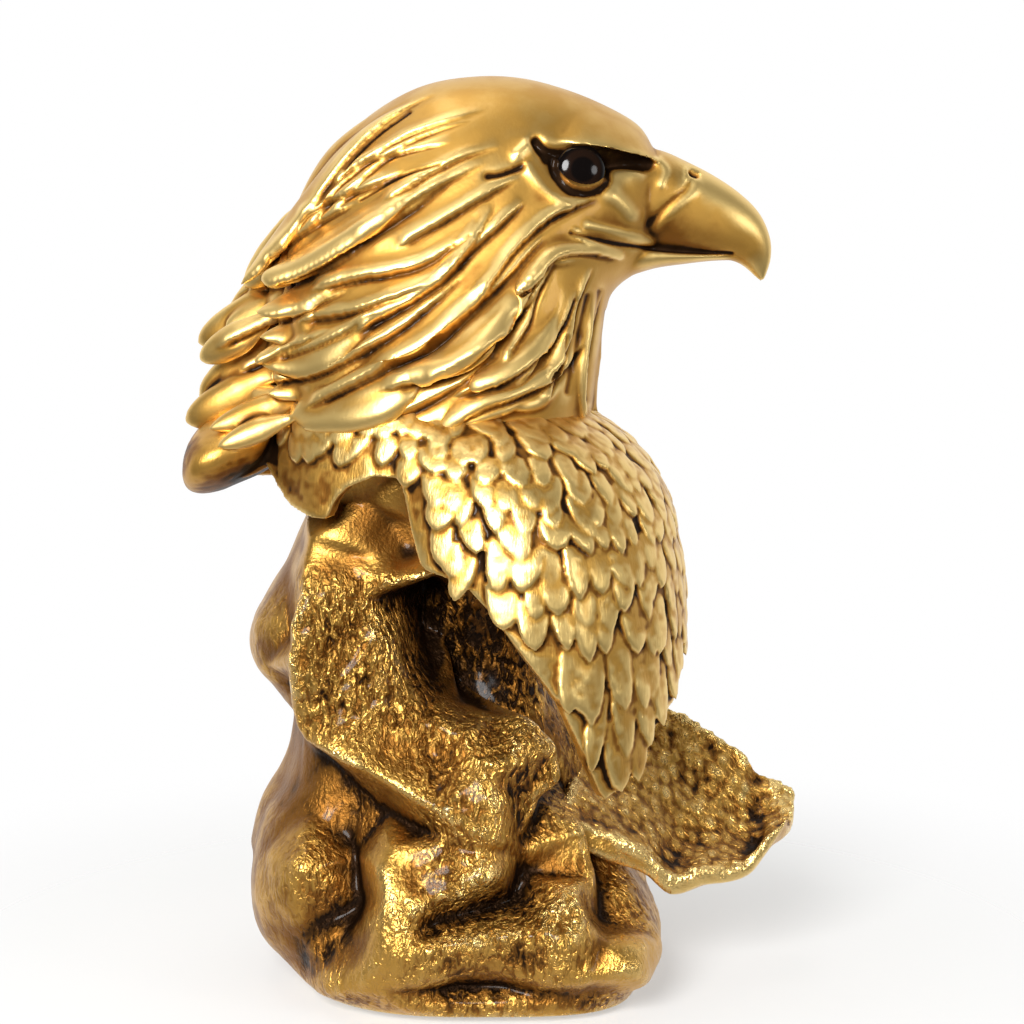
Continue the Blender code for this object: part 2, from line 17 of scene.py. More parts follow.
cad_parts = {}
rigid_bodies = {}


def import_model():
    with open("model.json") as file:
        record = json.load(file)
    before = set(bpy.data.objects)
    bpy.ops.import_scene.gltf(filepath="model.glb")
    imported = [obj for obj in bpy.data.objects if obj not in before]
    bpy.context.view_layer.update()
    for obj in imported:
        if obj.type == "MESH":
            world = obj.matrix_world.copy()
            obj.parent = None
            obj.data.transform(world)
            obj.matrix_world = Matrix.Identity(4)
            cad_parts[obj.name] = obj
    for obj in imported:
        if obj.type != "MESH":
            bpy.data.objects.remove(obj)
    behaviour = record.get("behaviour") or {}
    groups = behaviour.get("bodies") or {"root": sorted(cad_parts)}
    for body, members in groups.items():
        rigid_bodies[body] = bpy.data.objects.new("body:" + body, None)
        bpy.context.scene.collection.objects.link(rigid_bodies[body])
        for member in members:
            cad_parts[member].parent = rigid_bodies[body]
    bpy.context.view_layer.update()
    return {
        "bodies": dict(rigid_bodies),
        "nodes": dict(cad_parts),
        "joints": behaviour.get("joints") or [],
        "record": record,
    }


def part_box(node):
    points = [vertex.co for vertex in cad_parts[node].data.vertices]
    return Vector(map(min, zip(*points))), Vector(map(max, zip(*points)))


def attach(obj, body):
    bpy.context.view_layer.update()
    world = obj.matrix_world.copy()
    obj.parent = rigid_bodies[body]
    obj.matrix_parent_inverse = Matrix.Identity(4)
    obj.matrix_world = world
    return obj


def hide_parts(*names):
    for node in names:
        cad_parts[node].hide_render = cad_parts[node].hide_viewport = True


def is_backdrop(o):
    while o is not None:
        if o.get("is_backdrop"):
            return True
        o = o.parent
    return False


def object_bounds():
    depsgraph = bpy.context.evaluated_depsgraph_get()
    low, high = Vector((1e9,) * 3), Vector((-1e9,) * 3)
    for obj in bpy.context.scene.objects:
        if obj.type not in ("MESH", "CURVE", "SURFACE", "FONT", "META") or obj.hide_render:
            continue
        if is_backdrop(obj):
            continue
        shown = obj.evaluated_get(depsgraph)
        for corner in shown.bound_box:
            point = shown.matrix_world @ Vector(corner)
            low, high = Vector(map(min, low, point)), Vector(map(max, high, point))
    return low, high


LOG = logging.getLogger("eagle_bust")
MM = 0.001
HOLLOW = "hollow"
ROUGH = "rough"
IRIS = "iris"
MOST_TRIANGLES = 196000
LATTICE = 4096
LATTICE_START = 1000.0
TINY = 1e-9
SOCKET = (-14 * MM, 66 * MM)
Array = np.ndarray
Pixel = Tuple[float, float]
Pair = Tuple[float, float]
Table = Tuple[Tuple[float, ...], ...]
Colour = Tuple[float, float, float]
Place = Tuple[float, float, float]
Input = Union[float, Sequence[float], NodeSocket]
Sockets = Tuple[NodeSocket, NodeSocket]


class Side(Enum):
    """Side of the bust that a piece belongs to."""

    NEAR = -1
    FAR = 1


class Tone(Enum):
    """Colours of the gilding, from the dark wash and painted shade in grooves and hollows to the lighter
    edges, which are rubbed gilding and painted highlight.
    """

    WASH_AND_SHADE = (0.020, 0.008, 0.002)
    UMBER = (0.260, 0.108, 0.016)
    GOLD = (0.620, 0.345, 0.072)
    BRIGHT = (0.930, 0.660, 0.245)


@dataclass(frozen=True)
class Sketch:
    """Photo view that the outlines are drawn in, and the camera that sees it.

    Attributes:
        height: Height of the statue in metres.
        shift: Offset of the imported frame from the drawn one, in metres.
        middle: Pixels from an edge of the photo to its middle.
        focus: Focal length in pixels.
        tilt: Angle in radians that the camera looks down.
        reach: Distance of the camera, in heights of the statue.
        aim: Height that it looks at, in heights of the statue.
    """

    height: float = 250 * MM
    shift: Pair = (0.0, 0.0)
    middle: float = 512.0
    focus: float = 2418.0
    tilt: float = math.radians(7.0)
    reach: float = 2.674
    aim: float = 0.5237

    @property
    def eye_point(self) -> Array:
        """Returns: place of the camera."""
        reach = self.reach * self.height
        return np.array((self.shift[0], self.shift[1] - reach * math.cos(self.tilt),
                         self.aim * self.height + reach * math.sin(self.tilt)))

    @property
    def scale(self) -> float:
        """Returns: metres to a pixel at the camera's aim."""
        return self.reach * self.height / self.focus

    def ray(self, across: Array, down: Array) -> Array:
        """Direction of the sight line through sketch points.

        Args:
            across: Pixels from the left.
            down: Pixels from the top.

        Returns:
            Directions, one row each.
        """
        right = (np.asarray(across, float) - self.middle) / self.focus
        up = (self.middle - np.asarray(down, float)) / self.focus
        return np.stack((right, up * math.sin(self.tilt) + math.cos(self.tilt),
                         up * math.cos(self.tilt) - math.sin(self.tilt)), axis=-1)

    def place(self, across: Array, down: Array, depth: Array) -> Array:
        """Points on the sight lines at given depths from the middle plane.

        Args:
            across: Pixels from the left.
            down: Pixels from the top.
            depth: Metres behind the middle plane.

        Returns:
            Places in the scene.
        """
        line = self.ray(across, down)
        reach = (np.asarray(depth, float) + self.shift[1] - self.eye_point[1]) / line[..., 1]
        return self.eye_point + line * reach[..., None]

    def pixel(self, points: Array) -> Array:
        """Sketch points of places, the far half folded on to the near half.

        Args:
            points: Places in the scene.

        Returns:
            Pixels across and down, one row each.
        """
        folded = points.copy()
        folded[:, 1] = self.shift[1] - np.abs(points[:, 1] - self.shift[1])
        return self.seen(folded)

    def seen(self, points: Array) -> Array:
        """Sketch points of places as the camera sees them.

        Args:
            points: Places in the scene.

        Returns:
            Pixels across and down, one row each.
        """
        offset = points - self.eye_point
        ahead = offset[:, 1] * math.cos(self.tilt) - offset[:, 2] * math.sin(self.tilt)
        above = offset[:, 1] * math.sin(self.tilt) + offset[:, 2] * math.cos(self.tilt)
        return np.stack((self.middle + self.focus * offset[:, 0] / ahead,
                         self.middle - self.focus * above / ahead), axis=-1)


def through(rows: Sequence[Sequence[float]], place: Array) -> Array:
    """Smooth curve through rows of values.

    Args:
        rows: Values at the whole numbers.
        place: Where to read the curve.

    Returns:
        One row of values for each place.
    """
    table = np.asarray(rows, float)
    low = np.clip(place.astype(int), 0, len(table) - 2)
    part = (place - low)[:, None]
    slope = np.gradient(table, axis=0)
    square, cube = part ** 2, part ** 3
    return ((2 * cube - 3 * square + 1) * table[low] + (cube - 2 * square + part) * slope[low]
            + (3 * square - 2 * cube) * table[low + 1] + (cube - square) * slope[low + 1])


def spread(rows: Sequence[Sequence[float]], count: int) -> Array:
    """Returns: that many rows, evenly spaced on the smooth curve through the given ones."""
    return through(rows, np.linspace(0, len(rows) - 1, count))


def unit(vectors: Array) -> Array:
    """Returns: the same directions with a length of one."""
    return vectors / np.maximum(np.linalg.norm(vectors, axis=-1, keepdims=True), TINY)


def ramp(values: Array, start: float, end: float) -> Array:
    """Returns: zero at the start, one at the end, a straight slope between, and level beyond."""
    return np.clip((values - start) / (end - start), 0, 1)


def bent(values: Array, power: Union[float, Array]) -> Array:
    """Returns: the values raised to a power, with their signs kept."""
    return np.sign(values) * np.abs(values) ** power


def turns(count: int) -> Array:
    """Returns: angles in radians of evenly spaced points round a circle."""
    return np.linspace(0, 2 * math.pi, count, endpoint=False)


def lattice_code(cell: Array) -> Array:
    """Returns: the number that each lattice cell always gets, its coordinates scrambled."""
    return (cell[:, 0] * 73856093 ^ cell[:, 1] * 19349663 ^ cell[:, 2] * 83492791) & (LATTICE - 1)


def value_noise(points: Array, size: float, seed: int) -> Array:
    """Smooth noise: random values on a lattice, blended between the eight corners.

    Args:
        points: Places in metres.
        size: Lattice spacing in metres.
        seed: Choice of random values.

    Returns:
        Values from -1 to 1.
    """
    lattice = np.random.default_rng(seed).uniform(-1, 1, LATTICE)
    scaled = points / size + LATTICE_START
    cell = np.floor(scaled).astype(np.int64)
    part = scaled - cell
    part = part * part * (3 - 2 * part)
    total = np.zeros(len(points))
    for corner in np.ndindex(2, 2, 2):
        weight = np.prod(np.where(np.array(corner) == 1, part, 1 - part), axis=1)
        total += weight * lattice[lattice_code(cell + np.array(corner))]
    return total


def cell_noise(points: Array, size: float, seed: int) -> Array:
    """Rounded pebbles: one minus the distance to the nearest of the seeds, one to a lattice cell.

    Args:
        points: Places in metres.
        size: Width of a pebble in metres.
        seed: Choice of random places.

    Returns:
        Values up to 1 on top of a pebble.
    """
    jitter = np.random.default_rng(seed).uniform(0.1, 0.9, (LATTICE, 3))
    scaled = points / size + LATTICE_START
    cell = np.floor(scaled).astype(np.int64)
    nearest = np.full(len(points), 9.0)
    for corner in np.ndindex(3, 3, 3):
        index = cell + np.array(corner) - 1
        nearest = np.minimum(nearest, np.sum((index + jitter[lattice_code(index)] - scaled) ** 2, axis=1))
    return 1 - np.sqrt(nearest)


@dataclass
class Surface:
    """Points and quads of a shape.

    Attributes:
        points: Places, one row each.
        quads: Point numbers, four to a row.
    """

    points: Array
    quads: Array

    @classmethod
    def from_rings(cls, rings: Array, loop: bool = False) -> "Surface":
        """Stack of rings joined by quads; the ends close on the middle of their ring.

        Args:
            rings: Array of rings by steps by three.
            loop: Join the last ring to the first instead.

        Returns:
            The surface.
        """
        if not loop:
            ends = [np.repeat(ring.mean(axis=0)[None], len(ring), axis=0) for ring in (rings[0], rings[-1])]
            rings = np.concatenate((ends[0][None], rings, ends[1][None]))
        count, around = rings.shape[:2]
        number = np.arange(count * around).reshape(count, around)
        lower = number if loop else number[:-1]
        upper = np.roll(number, -1, axis=0) if loop else number[1:]
        quads = np.stack((lower, np.roll(lower, -1, axis=1), np.roll(upper, -1, axis=1), upper), axis=-1)
        return cls(rings.reshape(-1, 3), quads.reshape(-1, 4))

    @classmethod
    def joined(cls, surfaces: Sequence["Surface"]) -> "Surface":
        """Returns: all the surfaces as one."""
        starts = np.cumsum([0] + [len(surface.points) for surface in surfaces[:-1]])
        return cls(np.concatenate([surface.points for surface in surfaces]),
                   np.concatenate([surface.quads + start for surface, start in zip(surfaces, starts)]))

    def mirrored(self, plane: float) -> "Surface":
        """The same shape on the other side of the bust's middle plane.

        Args:
            plane: Depth of the middle plane.

        Returns:
            The mirrored surface.
        """
        points = self.points.copy()
        points[:, 1] = 2 * plane - points[:, 1]
        return Surface(points, self.quads[:, ::-1])

    def mesh(self, name: str) -> Mesh:
        """Blender mesh of the surface.

        Args:
            name: Name of the mesh.

        Returns:
            The mesh.
        """
        made = bpy.data.meshes.new(name)
        made.vertices.add(len(self.points))
        made.vertices.foreach_set("co", self.points.astype(np.float32).ravel())
        made.loops.add(self.quads.size)
        made.loops.foreach_set("vertex_index", self.quads.astype(np.int32).ravel())
        made.polygons.add(len(self.quads))
        made.polygons.foreach_set("loop_start", np.arange(0, self.quads.size, 4, dtype=np.int32))
        made.update(calc_edges=True)
        made.validate()
        return made

    def tree(self) -> BVHTree:
        """Returns: search tree for sight lines."""
        return BVHTree.FromPolygons([Vector(point) for point in self.points],
                                    [tuple(int(n) for n in quad) for quad in self.quads])


@dataclass
class Casting:
    """Surfaces fused into one closed skin that can be carved and smoothed.

    Attributes:
        name: Name of the piece.
        points: Places of the skin.
        quads: Faces of the skin.
        tint_and_painted_light: Extra darkness for each point, lighter below zero: wash in creases, painted
            shade under overhangs and in recesses, and painted highlight on ridges.
        rough: How hammered each point is, from 0 to 1.
        edges: Pairs of neighbours.
        weight: Number of neighbours of each point.
    """

    name: str
    points: Array
    quads: Array
    tint_and_painted_light: Union[float, Array] = 0.0
    rough: Union[float, Array] = 0.0
    edges: Array = field(init=False)
    weight: Array = field(init=False)

    def __post_init__(self) -> None:
        """Finds the neighbours of each point."""
        sides = np.concatenate([self.quads[:, (n, (n + 1) % 4)] for n in range(4)])
        self.edges = np.unique(np.sort(sides, axis=1), axis=0)
        self.edges = self.edges[self.edges[:, 0] != self.edges[:, 1]]
        self.weight = np.bincount(self.edges.ravel(), minlength=len(self.points)).astype(float)
        self.weight = np.maximum(self.weight, 1)

    @classmethod
    def fused(cls, name: str, surface: Surface, voxel: float) -> "Casting":
        """Fuses overlapping closed surfaces into one skin.

        Args:
            name: Name of the piece.
            surface: All the shapes.
            voxel: Size of the skin's quads in metres.

        Returns:
            The casting.
        """
        skin = modified(surface.mesh(name), "REMESH", mode="VOXEL", voxel_size=voxel)
        points = np.empty(len(skin.vertices) * 3, np.float32)
        skin.vertices.foreach_get("co", points)
        quads = np.empty(len(skin.polygons) * 4, np.int32)
        skin.polygons.foreach_get("vertices", quads)
        bpy.data.meshes.remove(skin)
        return cls(name, points.reshape(-1, 3).astype(float), quads.reshape(-1, 4))

    def average(self, values: Array) -> Array:
        """Mean of each point's neighbours.

        Args:
            values: One row for each point.

        Returns:
            The means.
        """
        rows = values if values.ndim == 2 else values[:, None]
        first, second = self.edges.T
        total = np.stack([np.bincount(first, column[second], len(rows))
                          + np.bincount(second, column[first], len(rows)) for column in rows.T], axis=-1)
        mean = total / self.weight[:, None]
        return mean if values.ndim == 2 else mean[:, 0]

    def softened(self, values: Array, rounds: int, share: Union[float, Array] = 0.5) -> Array:
        """Values moved towards the mean of their neighbours.

        Args:
            values: One row for each point.
            rounds: Number of passes.
            share: Part of the way in each pass, for all points or a column for each.

        Returns:
            The new values.
        """
        for _ in range(rounds):
            values = values + share * (self.average(values) - values)
        return values

    def smooth(self, rounds: int, share: Union[float, Array] = 0.5) -> None:
        """Moves each point of the skin towards its neighbours, as softened() does with values."""
        self.points[:] = self.softened(self.points, rounds, share)

    def normals(self) -> Array:
        """Outward directions of the skin: the sum of the faces' cross products at each point.

        Returns:
            One unit vector for each point.
        """
        corner = self.points[self.quads]
        face = np.cross(corner[:, 2] - corner[:, 0], corner[:, 3] - corner[:, 1])
        count = len(self.points)
        total = [sum(np.bincount(self.quads[:, n], column, count) for n in range(4)) for column in face.T]
        return unit(np.stack(total, axis=-1))

    def push(self, amount: Array) -> None:
        """Moves the skin along its normals, by an amount in metres for each point."""
        self.points += self.normals() * amount[:, None]

    def hollows(self, near: int, wide: int) -> Array:
        """How deep each point lies in a groove, from -1 on an edge to 1 in a crevice.

        The skin is compared with a finer and a broader smoothed copy of itself: where the copy lies
        outside, the point is in a hollow. The colour darkens with it: wash in the fine grooves and
        painted shade in the broad hollows.

        Args:
            near: Passes of the finer copy.
            wide: Passes of the broader copy.

        Returns:
            One value for each point.
        """
        facing = self.normals()
        result = np.zeros(len(self.points))
        copy = self.points
        for passes in (near, wide - near):
            copy = self.softened(copy, passes)
            depth = np.sum((copy - self.points) * facing, axis=1)
            result += 0.55 * np.tanh(depth / (np.std(depth) * 1.25 + TINY))
        return self.softened(result, rounds=2, share=0.4)

    def finish(self, material: Material, slot: str, nodes: Sequence[str],
               near: int = 6, wide: int = 60) -> None:
        """Makes the finished piece and lets it stand for its CAD nodes.

        Args:
            material: Look of the piece.
            slot: Material slot of the record; not used.
            nodes: CAD nodes that it replaces.
            near: Passes of the finer groove measure.
            wide: Passes of the broader groove measure.
        """
        mesh = Surface(self.points, self.quads).mesh(self.name)
        # the hollow value carries the wash in grooves and the painted shade and highlight, which the patina
        # group turns into colour
        depth = self.hollows(near, wide) + self.tint_and_painted_light
        rough = np.broadcast_to(self.rough, depth.shape)
        for name, values in ((HOLLOW, depth), (ROUGH, rough)):
            mesh.attributes.new(name, "FLOAT", "POINT").data.foreach_set("value", values.astype(np.float32))
        if 2 * len(self.quads) > MOST_TRIANGLES:
            mesh = modified(mesh, "DECIMATE", ratio=MOST_TRIANGLES / (2 * len(self.quads)))
        mesh.shade_smooth()
        show(self.name, mesh, material, nodes)


def modified(mesh: Mesh, kind: str, **settings: object) -> Mesh:
    """Mesh with a modifier applied.

    Args:
        mesh: What to change; it is removed.
        kind: Type of the modifier.
        **settings: Properties of the modifier.

    Returns:
        The new mesh, under the same name.
    """
    name = mesh.name
    rough = bpy.data.objects.new(name + "_rough", mesh)
    bpy.context.scene.collection.objects.link(rough)
    modifier = rough.modifiers.new(kind.lower(), kind)
    for key, value in settings.items():
        setattr(modifier, key, value)
    made = bpy.data.meshes.new_from_object(rough.evaluated_get(bpy.context.evaluated_depsgraph_get()))
    bpy.data.objects.remove(rough)
    bpy.data.meshes.remove(mesh)
    made.name = name
    return made


def show(name: str, mesh: Mesh, material: Material, nodes: Sequence[str]) -> None:
    """Puts a finished mesh in the scene.

    Args:
        name: Name of the piece.
        mesh: Its mesh.
        material: Its look.
        nodes: CAD nodes that it replaces.
    """
    made = bpy.data.objects.new(name, mesh)
    mesh.materials.append(material)
    bpy.context.scene.collection.objects.link(made)
    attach(made, "root")
    if nodes:
        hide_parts(*nodes)
    LOG.info("%s: %d points", name, len(mesh.vertices))


@dataclass(frozen=True)
class Drawn:
    """Line drawn on the photo.

    Attributes:
        line: Sketch points along it.
        width: Reach to each side in pixels.
        rise: Millimetres outward; below zero for a groove.
    """

    line: Tuple[Pixel, ...]
    width: float
    rise: float

    def measure(self, pixels: Array) -> Tuple[Array, Array, Array]:
        """Points near the line, their distance from it and how far along it they are.

        The distance is above zero on the right hand of someone who walks the line on the photo.

        Args:
            pixels: Sketch points.

        Returns:
            Numbers of the near points, signed distances in pixels, and places from 0 to 1.
        """
        line = spread(self.line, 6 * len(self.line)) if len(self.line) > 2 else np.array(self.line, float)
        reach = 3 * self.width
        boxed = (pixels > line.min(axis=0) - reach) & (pixels < line.max(axis=0) + reach)
        near = np.flatnonzero(np.all(boxed, axis=1))
        close = pixels[near]
        best = np.full(len(near), 1e9)
        signed = np.full(len(near), 1e9)
        place = np.zeros(len(near))
        for number, (start, end) in enumerate(zip(line[:-1], line[1:])):
            along = end - start
            offset = close - start
            part = np.clip((offset @ along) / max(along @ along, TINY), 0, 1)
            away = np.linalg.norm(offset - part[:, None] * along, axis=1)
            side = np.where(along[0] * offset[:, 1] - along[1] * offset[:, 0] > 0, 1.0, -1.0)
            closer = away < best
            best = np.where(closer, away, best)
            signed = np.where(closer, away * side, signed)
            place = np.where(closer, (number + part) / (len(line) - 1), place)
        return near, signed, place


@dataclass(frozen=True)
class Stroke(Drawn):
    """Ridge or groove carved into a casting, or only a tint where its rise is zero.

    Attributes:
        dark: Extra darkness along it, lighter below zero: wash in creases, painted shade in recesses and
            under the brow, and painted highlight on ridges.
    """

    dark: float = 0.0

    def bell(self, pixels: Array) -> Array:
        """One on the line, falling to the sides as a bell of the distance.

        Args:
            pixels: Sketch points.

        Returns:
            Values from 0 to 1.
        """
        near, signed, _ = self.measure(pixels)
        result = np.zeros(len(pixels))
        result[near] = np.exp(-(signed / self.width) ** 2)
        return result

    def amount(self, pixels: Array) -> Array:
        """Returns: push of the stroke in metres at each sketch point."""
        return self.rise * MM * self.bell(pixels)


@dataclass(frozen=True)
class Fold(Drawn):
    """Edge of a lock, drawn from its root to its tip, with the lock on the upper side.

    Attributes:
        drop: Depth of the groove under the edge, as a part of the rise.
    """

    drop: float = 0.65

    def amount(self, pixels: Array) -> Array:
        """Push of the fold: the lock swells towards its edge, and the skin drops away below it.

        On the lock's side the push is the rise times a bell that stands a third of the width
        inside the edge, with two shallow grooves for strands; below the edge it is a narrow
        groove. Both grow from the root.

        Args:
            pixels: Sketch points.

        Returns:
            Metres outward.
        """
        near, signed, place = self.measure(pixels)
        grown = ramp(place, 0, 0.35) ** 0.8
        share = signed / self.width
        fine = max(0.12, 2.2 / self.width)
        strand = 0.14 * (np.exp(-((share - 0.42) / fine) ** 2) + np.exp(-((share - 0.90) / fine) ** 2))
        above = np.exp(-((share - 0.33) / 0.72) ** 2) - strand * np.clip(1.5 - 1.5 * place, 0, 1)
        below = -self.drop * np.exp(-(share / 0.30) ** 2)
        result = np.zeros(len(pixels))
        result[near] = self.rise * MM * grown * np.where(signed > 0, above, below)
        return result


@dataclass(frozen=True)
class Zone:
    """Part of the photo view that is darker or lighter, which fades in across and down.

    Attributes:
        across: Pixels from the left where it starts and where it is full.
        down: Pixels from the top where it starts and where it is full.
        dark: Extra darkness where it is full, lighter below zero.
    """

    across: Pair
    down: Pair
    dark: float

    def amount(self, pixels: Array) -> Array:
        """Returns: extra wash at each sketch point."""
        return self.dark * ramp(pixels[:, 0], *self.across) * ramp(pixels[:, 1], *self.down)


@dataclass(frozen=True)
class Relief:
    """Broken faces of the rock: flat triangles between drawn points of given height.

    Attributes:
        spots: Sketch points with their height in millimetres.
    """

    spots: Table

    def amount(self, pixels: Array) -> Array:
        """Push of the faces: the mean of a triangle's corners, weighted by nearness.

        Args:
            pixels: Sketch points.

        Returns:
            Metres outward.
        """
        spots = np.array(self.spots, float)
        corners, _, faces, *_ = delaunay_2d_cdt([Vector(spot[:2]) for spot in spots], [], [], 0, 1e-4)
        places = np.array([tuple(corner) for corner in corners])
        heights = spots[np.argmin(np.linalg.norm(places[:, None] - spots[None, :, :2], axis=2), axis=1), 2]
        result = np.zeros(len(pixels))
        for face in faces:
            first, second, third = places[list(face)]
            sides = np.stack((second - first, third - first), axis=-1)
            if abs(np.linalg.det(sides)) < 1e-6:
                continue
            share = (pixels - first) @ np.linalg.inv(sides).T
            inside = np.all(share >= -1e-9, axis=1) & (share.sum(axis=1) <= 1 + 1e-9)
            weight = np.concatenate((1 - share.sum(axis=1, keepdims=True), share), axis=1)
            result[inside] = weight[inside] @ heights[list(face)]
        return result * MM


def edges(sketch: Sketch, stations: Table, rings: int) -> Tuple[Array, Array, Array]:
    """Reads stations that hold an upper and a lower edge in pixels and a half width in millimetres.

    Args:
        sketch: The photo view.
        stations: The rows.
        rings: Number of rings.

    Returns:
        Places of the upper and the lower edge in the middle plane, and half widths in metres.
    """
    rows = spread(stations, rings)
    flat = np.zeros(rings)
    upper = sketch.place(rows[:, 0], rows[:, 1], flat)
    lower = sketch.place(rows[:, 2], rows[:, 3], flat)
    return upper[:, None], lower[:, None], rows[:, 4:] * MM


def fan(sketch: Sketch, stations: Table, rings: int, around: int, power: float = 1.0) -> Surface:
    """Rounded body between an upper and a lower edge that lie in the middle plane.

    Each ring is an ellipse: half the way from edge to edge times the cosine, plus the half width
    times the sine of the angle, both raised to a power that squares or sharpens it.

    Args:
        sketch: The photo view.
        stations: Rows as edges() reads them.
        rings: Number of rings.
        around: Points in a ring.
        power: Power of the ellipse.

    Returns:
        The body.
    """
    upper, lower, half = edges(sketch, stations, rings)
    turn = turns(around)
    made = (upper + lower) / 2 + (upper - lower) / 2 * bent(np.cos(turn), power)[:, None]
    made[..., 1] += half * bent(np.sin(turn), power)
    return Surface.from_rings(made)


def eave(sketch: Sketch, stations: Table, rings: int) -> Surface:
    """Brow: flanks that widen from the upper edge, and a flat underside.

    The half width grows as the 0.45 power of the way from the upper edge to the lower one.

    Args:
        sketch: The photo view.
        stations: Rows as edges() reads them.
        rings: Number of rings.

    Returns:
        The brow.
    """
    upper, lower, half = edges(sketch, stations, rings)
    down = np.linspace(0, 1, 24) ** 1.5
    part = np.concatenate((down, np.ones(14), down[:0:-1]))
    wide = np.concatenate((-down ** 0.45, np.linspace(-1, 1, 16)[1:-1], down[:0:-1] ** 0.45))
    made = upper + (lower - upper) * part[:, None]
    made[..., 1] += half * wide
    return Surface.from_rings(made[:, ::-1])


def blade(path: Array, across: Array, normal: Array, half: Array, thick: Array,
          power: float = 1.0) -> Surface:
    """Flat rings along a path: the half width times the cosine, and the thickness times the sine.

    Args:
        path: Middles of the rings.
        across: Directions of the width.
        normal: Directions of the thickness.
        half: Half widths in metres.
        thick: Half thicknesses in metres.
        power: Power of the sine; below one it squares the sides.

    Returns:
        The blade.
    """
    turn = turns(14)[:, None]
    side = np.cos(turn) * (across * half[:, None])[:, None]
    rise = bent(np.sin(turn), power) * (normal * thick[:, None])[:, None]
    return Surface.from_rings(path[:, None] + side + rise)


@dataclass(frozen=True)
class Lock:
    """Pointed lock of the mane.

    Attributes:
        line: Sketch points from root to tip.
        width: Greatest half width in pixels.
        lift: Height of the tip over the core in millimetres.
        taper: Power of the tip's taper; higher is blunter.
        roll: Turn about its length in radians that raises its lower edge.
        depth: Depth in millimetres of a lock that stands clear of the core.
        back: Whether it lies on the back of the head, with depths in millimetres for pixels across.
    """

    line: Tuple[Pixel, ...]
    width: float
    lift: float = 2.2
    taper: float = 1.9
    roll: float = 0.38
    depth: Optional[float] = None
    back: bool = False

    STEPS = 26
    LEAST = 0.15 * MM
    NEAR_DEPTH = -20.0
    NAPE_ACROSS = 330
    ROOT_STEPS = 6
    TURNED_AWAY = -0.6
    LYING_THICKNESS = 0.46
    CLEAR_THICKNESS = 0.66

    def sight(self, sketch: Sketch, drawn: Array) -> Tuple[Array, Array]:
        """Lines that look for the core: from the camera, or level from behind the head.

        Args:
            sketch: The photo view.
            drawn: Points along the lock.

        Returns:
            Starts and directions.
        """
        if not self.back:
            return np.tile(sketch.eye_point, (self.STEPS, 1)), unit(sketch.ray(drawn[:, 0], drawn[:, 1]))
        flat = np.zeros(self.STEPS)
        height = sketch.place(flat + 400.0, drawn[:, 1], flat)[:, 2]
        across = flat - sketch.height
        starts = np.stack((across, sketch.shift[1] + drawn[:, 0] * MM, height), axis=-1)
        return starts, np.tile((1.0, 0.0, 0.0), (self.STEPS, 1))

    def trace(self, sketch: Sketch, core: BVHTree) -> Tuple[Array, Array]:
        """Middle line of the lock on the core, evened out by a running mean of seven.

        Where the core turns away behind the neck, the lock goes straight on.

        Args:
            sketch: The photo view.
            core: Search tree of the core.

        Returns:
            Places and outward directions.
        """
        drawn = spread(self.line, self.STEPS)
        depth = self.depth if self.depth is not None else self.NEAR_DEPTH
        places, facing = [], []
        for step, (start, line) in enumerate(zip(*self.sight(sketch, drawn))):
            hit, normal, _, _ = core.ray_cast(Vector(start), Vector(line))
            beyond = not self.back and drawn[step, 0] < self.NAPE_ACROSS and step > self.ROOT_STEPS
            if hit is None or self.depth is not None or (beyond and normal[1] > self.TURNED_AWAY):
                places.append(sketch.place(drawn[step, 0], drawn[step, 1], np.array(depth * MM)))
                facing.append(facing[-1] if facing else np.array((0.0, -1.0, 0.0)))
            else:
                places.append(np.array(hit))
                facing.append(np.array(normal))
                depth = (hit[1] - sketch.shift[1]) / MM
        evened = []
        for rows in (places, facing):
            padded = np.pad(np.array(rows), ((3, 3), (0, 0)), mode="edge")
            mean = [np.convolve(column, np.ones(7) / 7, "valid") for column in padded.T]
            evened.append(np.stack(mean, axis=-1))
        return evened[0], unit(evened[1])

    def surface(self, sketch: Sketch, core: BVHTree) -> Surface:
        """Lens-shaped rings along the line, which lies on the core and rises to its tip.

        The half width grows from the root as a power of the way, and falls to the tip as one minus
        a power. The thickness is a share of the half width.

        Args:
            sketch: The photo view.
            core: Search tree of the core.

        Returns:
            The lock on the near side.
        """
        path, normal = self.trace(sketch, core)
        tangent = unit(np.gradient(path, axis=0))
        across = unit(np.cross(normal, tangent))
        normal = np.cross(tangent, across)
        across, normal = (across * math.cos(self.roll) + normal * math.sin(self.roll),
                          normal * math.cos(self.roll) - across * math.sin(self.roll))
        part = np.linspace(0, 1, self.STEPS)
        grown = np.minimum(1, part / 0.45) ** 0.8 * (1 - ramp(part, 0.40, 1.0) ** self.taper)
        half = np.maximum(self.width * sketch.scale * grown, self.LEAST)
        share = self.LYING_THICKNESS if self.depth is None else self.CLEAR_THICKNESS
        thick = np.maximum(half * share, self.LEAST)
        rise = self.lift * MM * (part ** 1.2 - 0.35) - 0.3 * thick
        return blade(path + normal * rise[:, None], across, normal, half, thick)


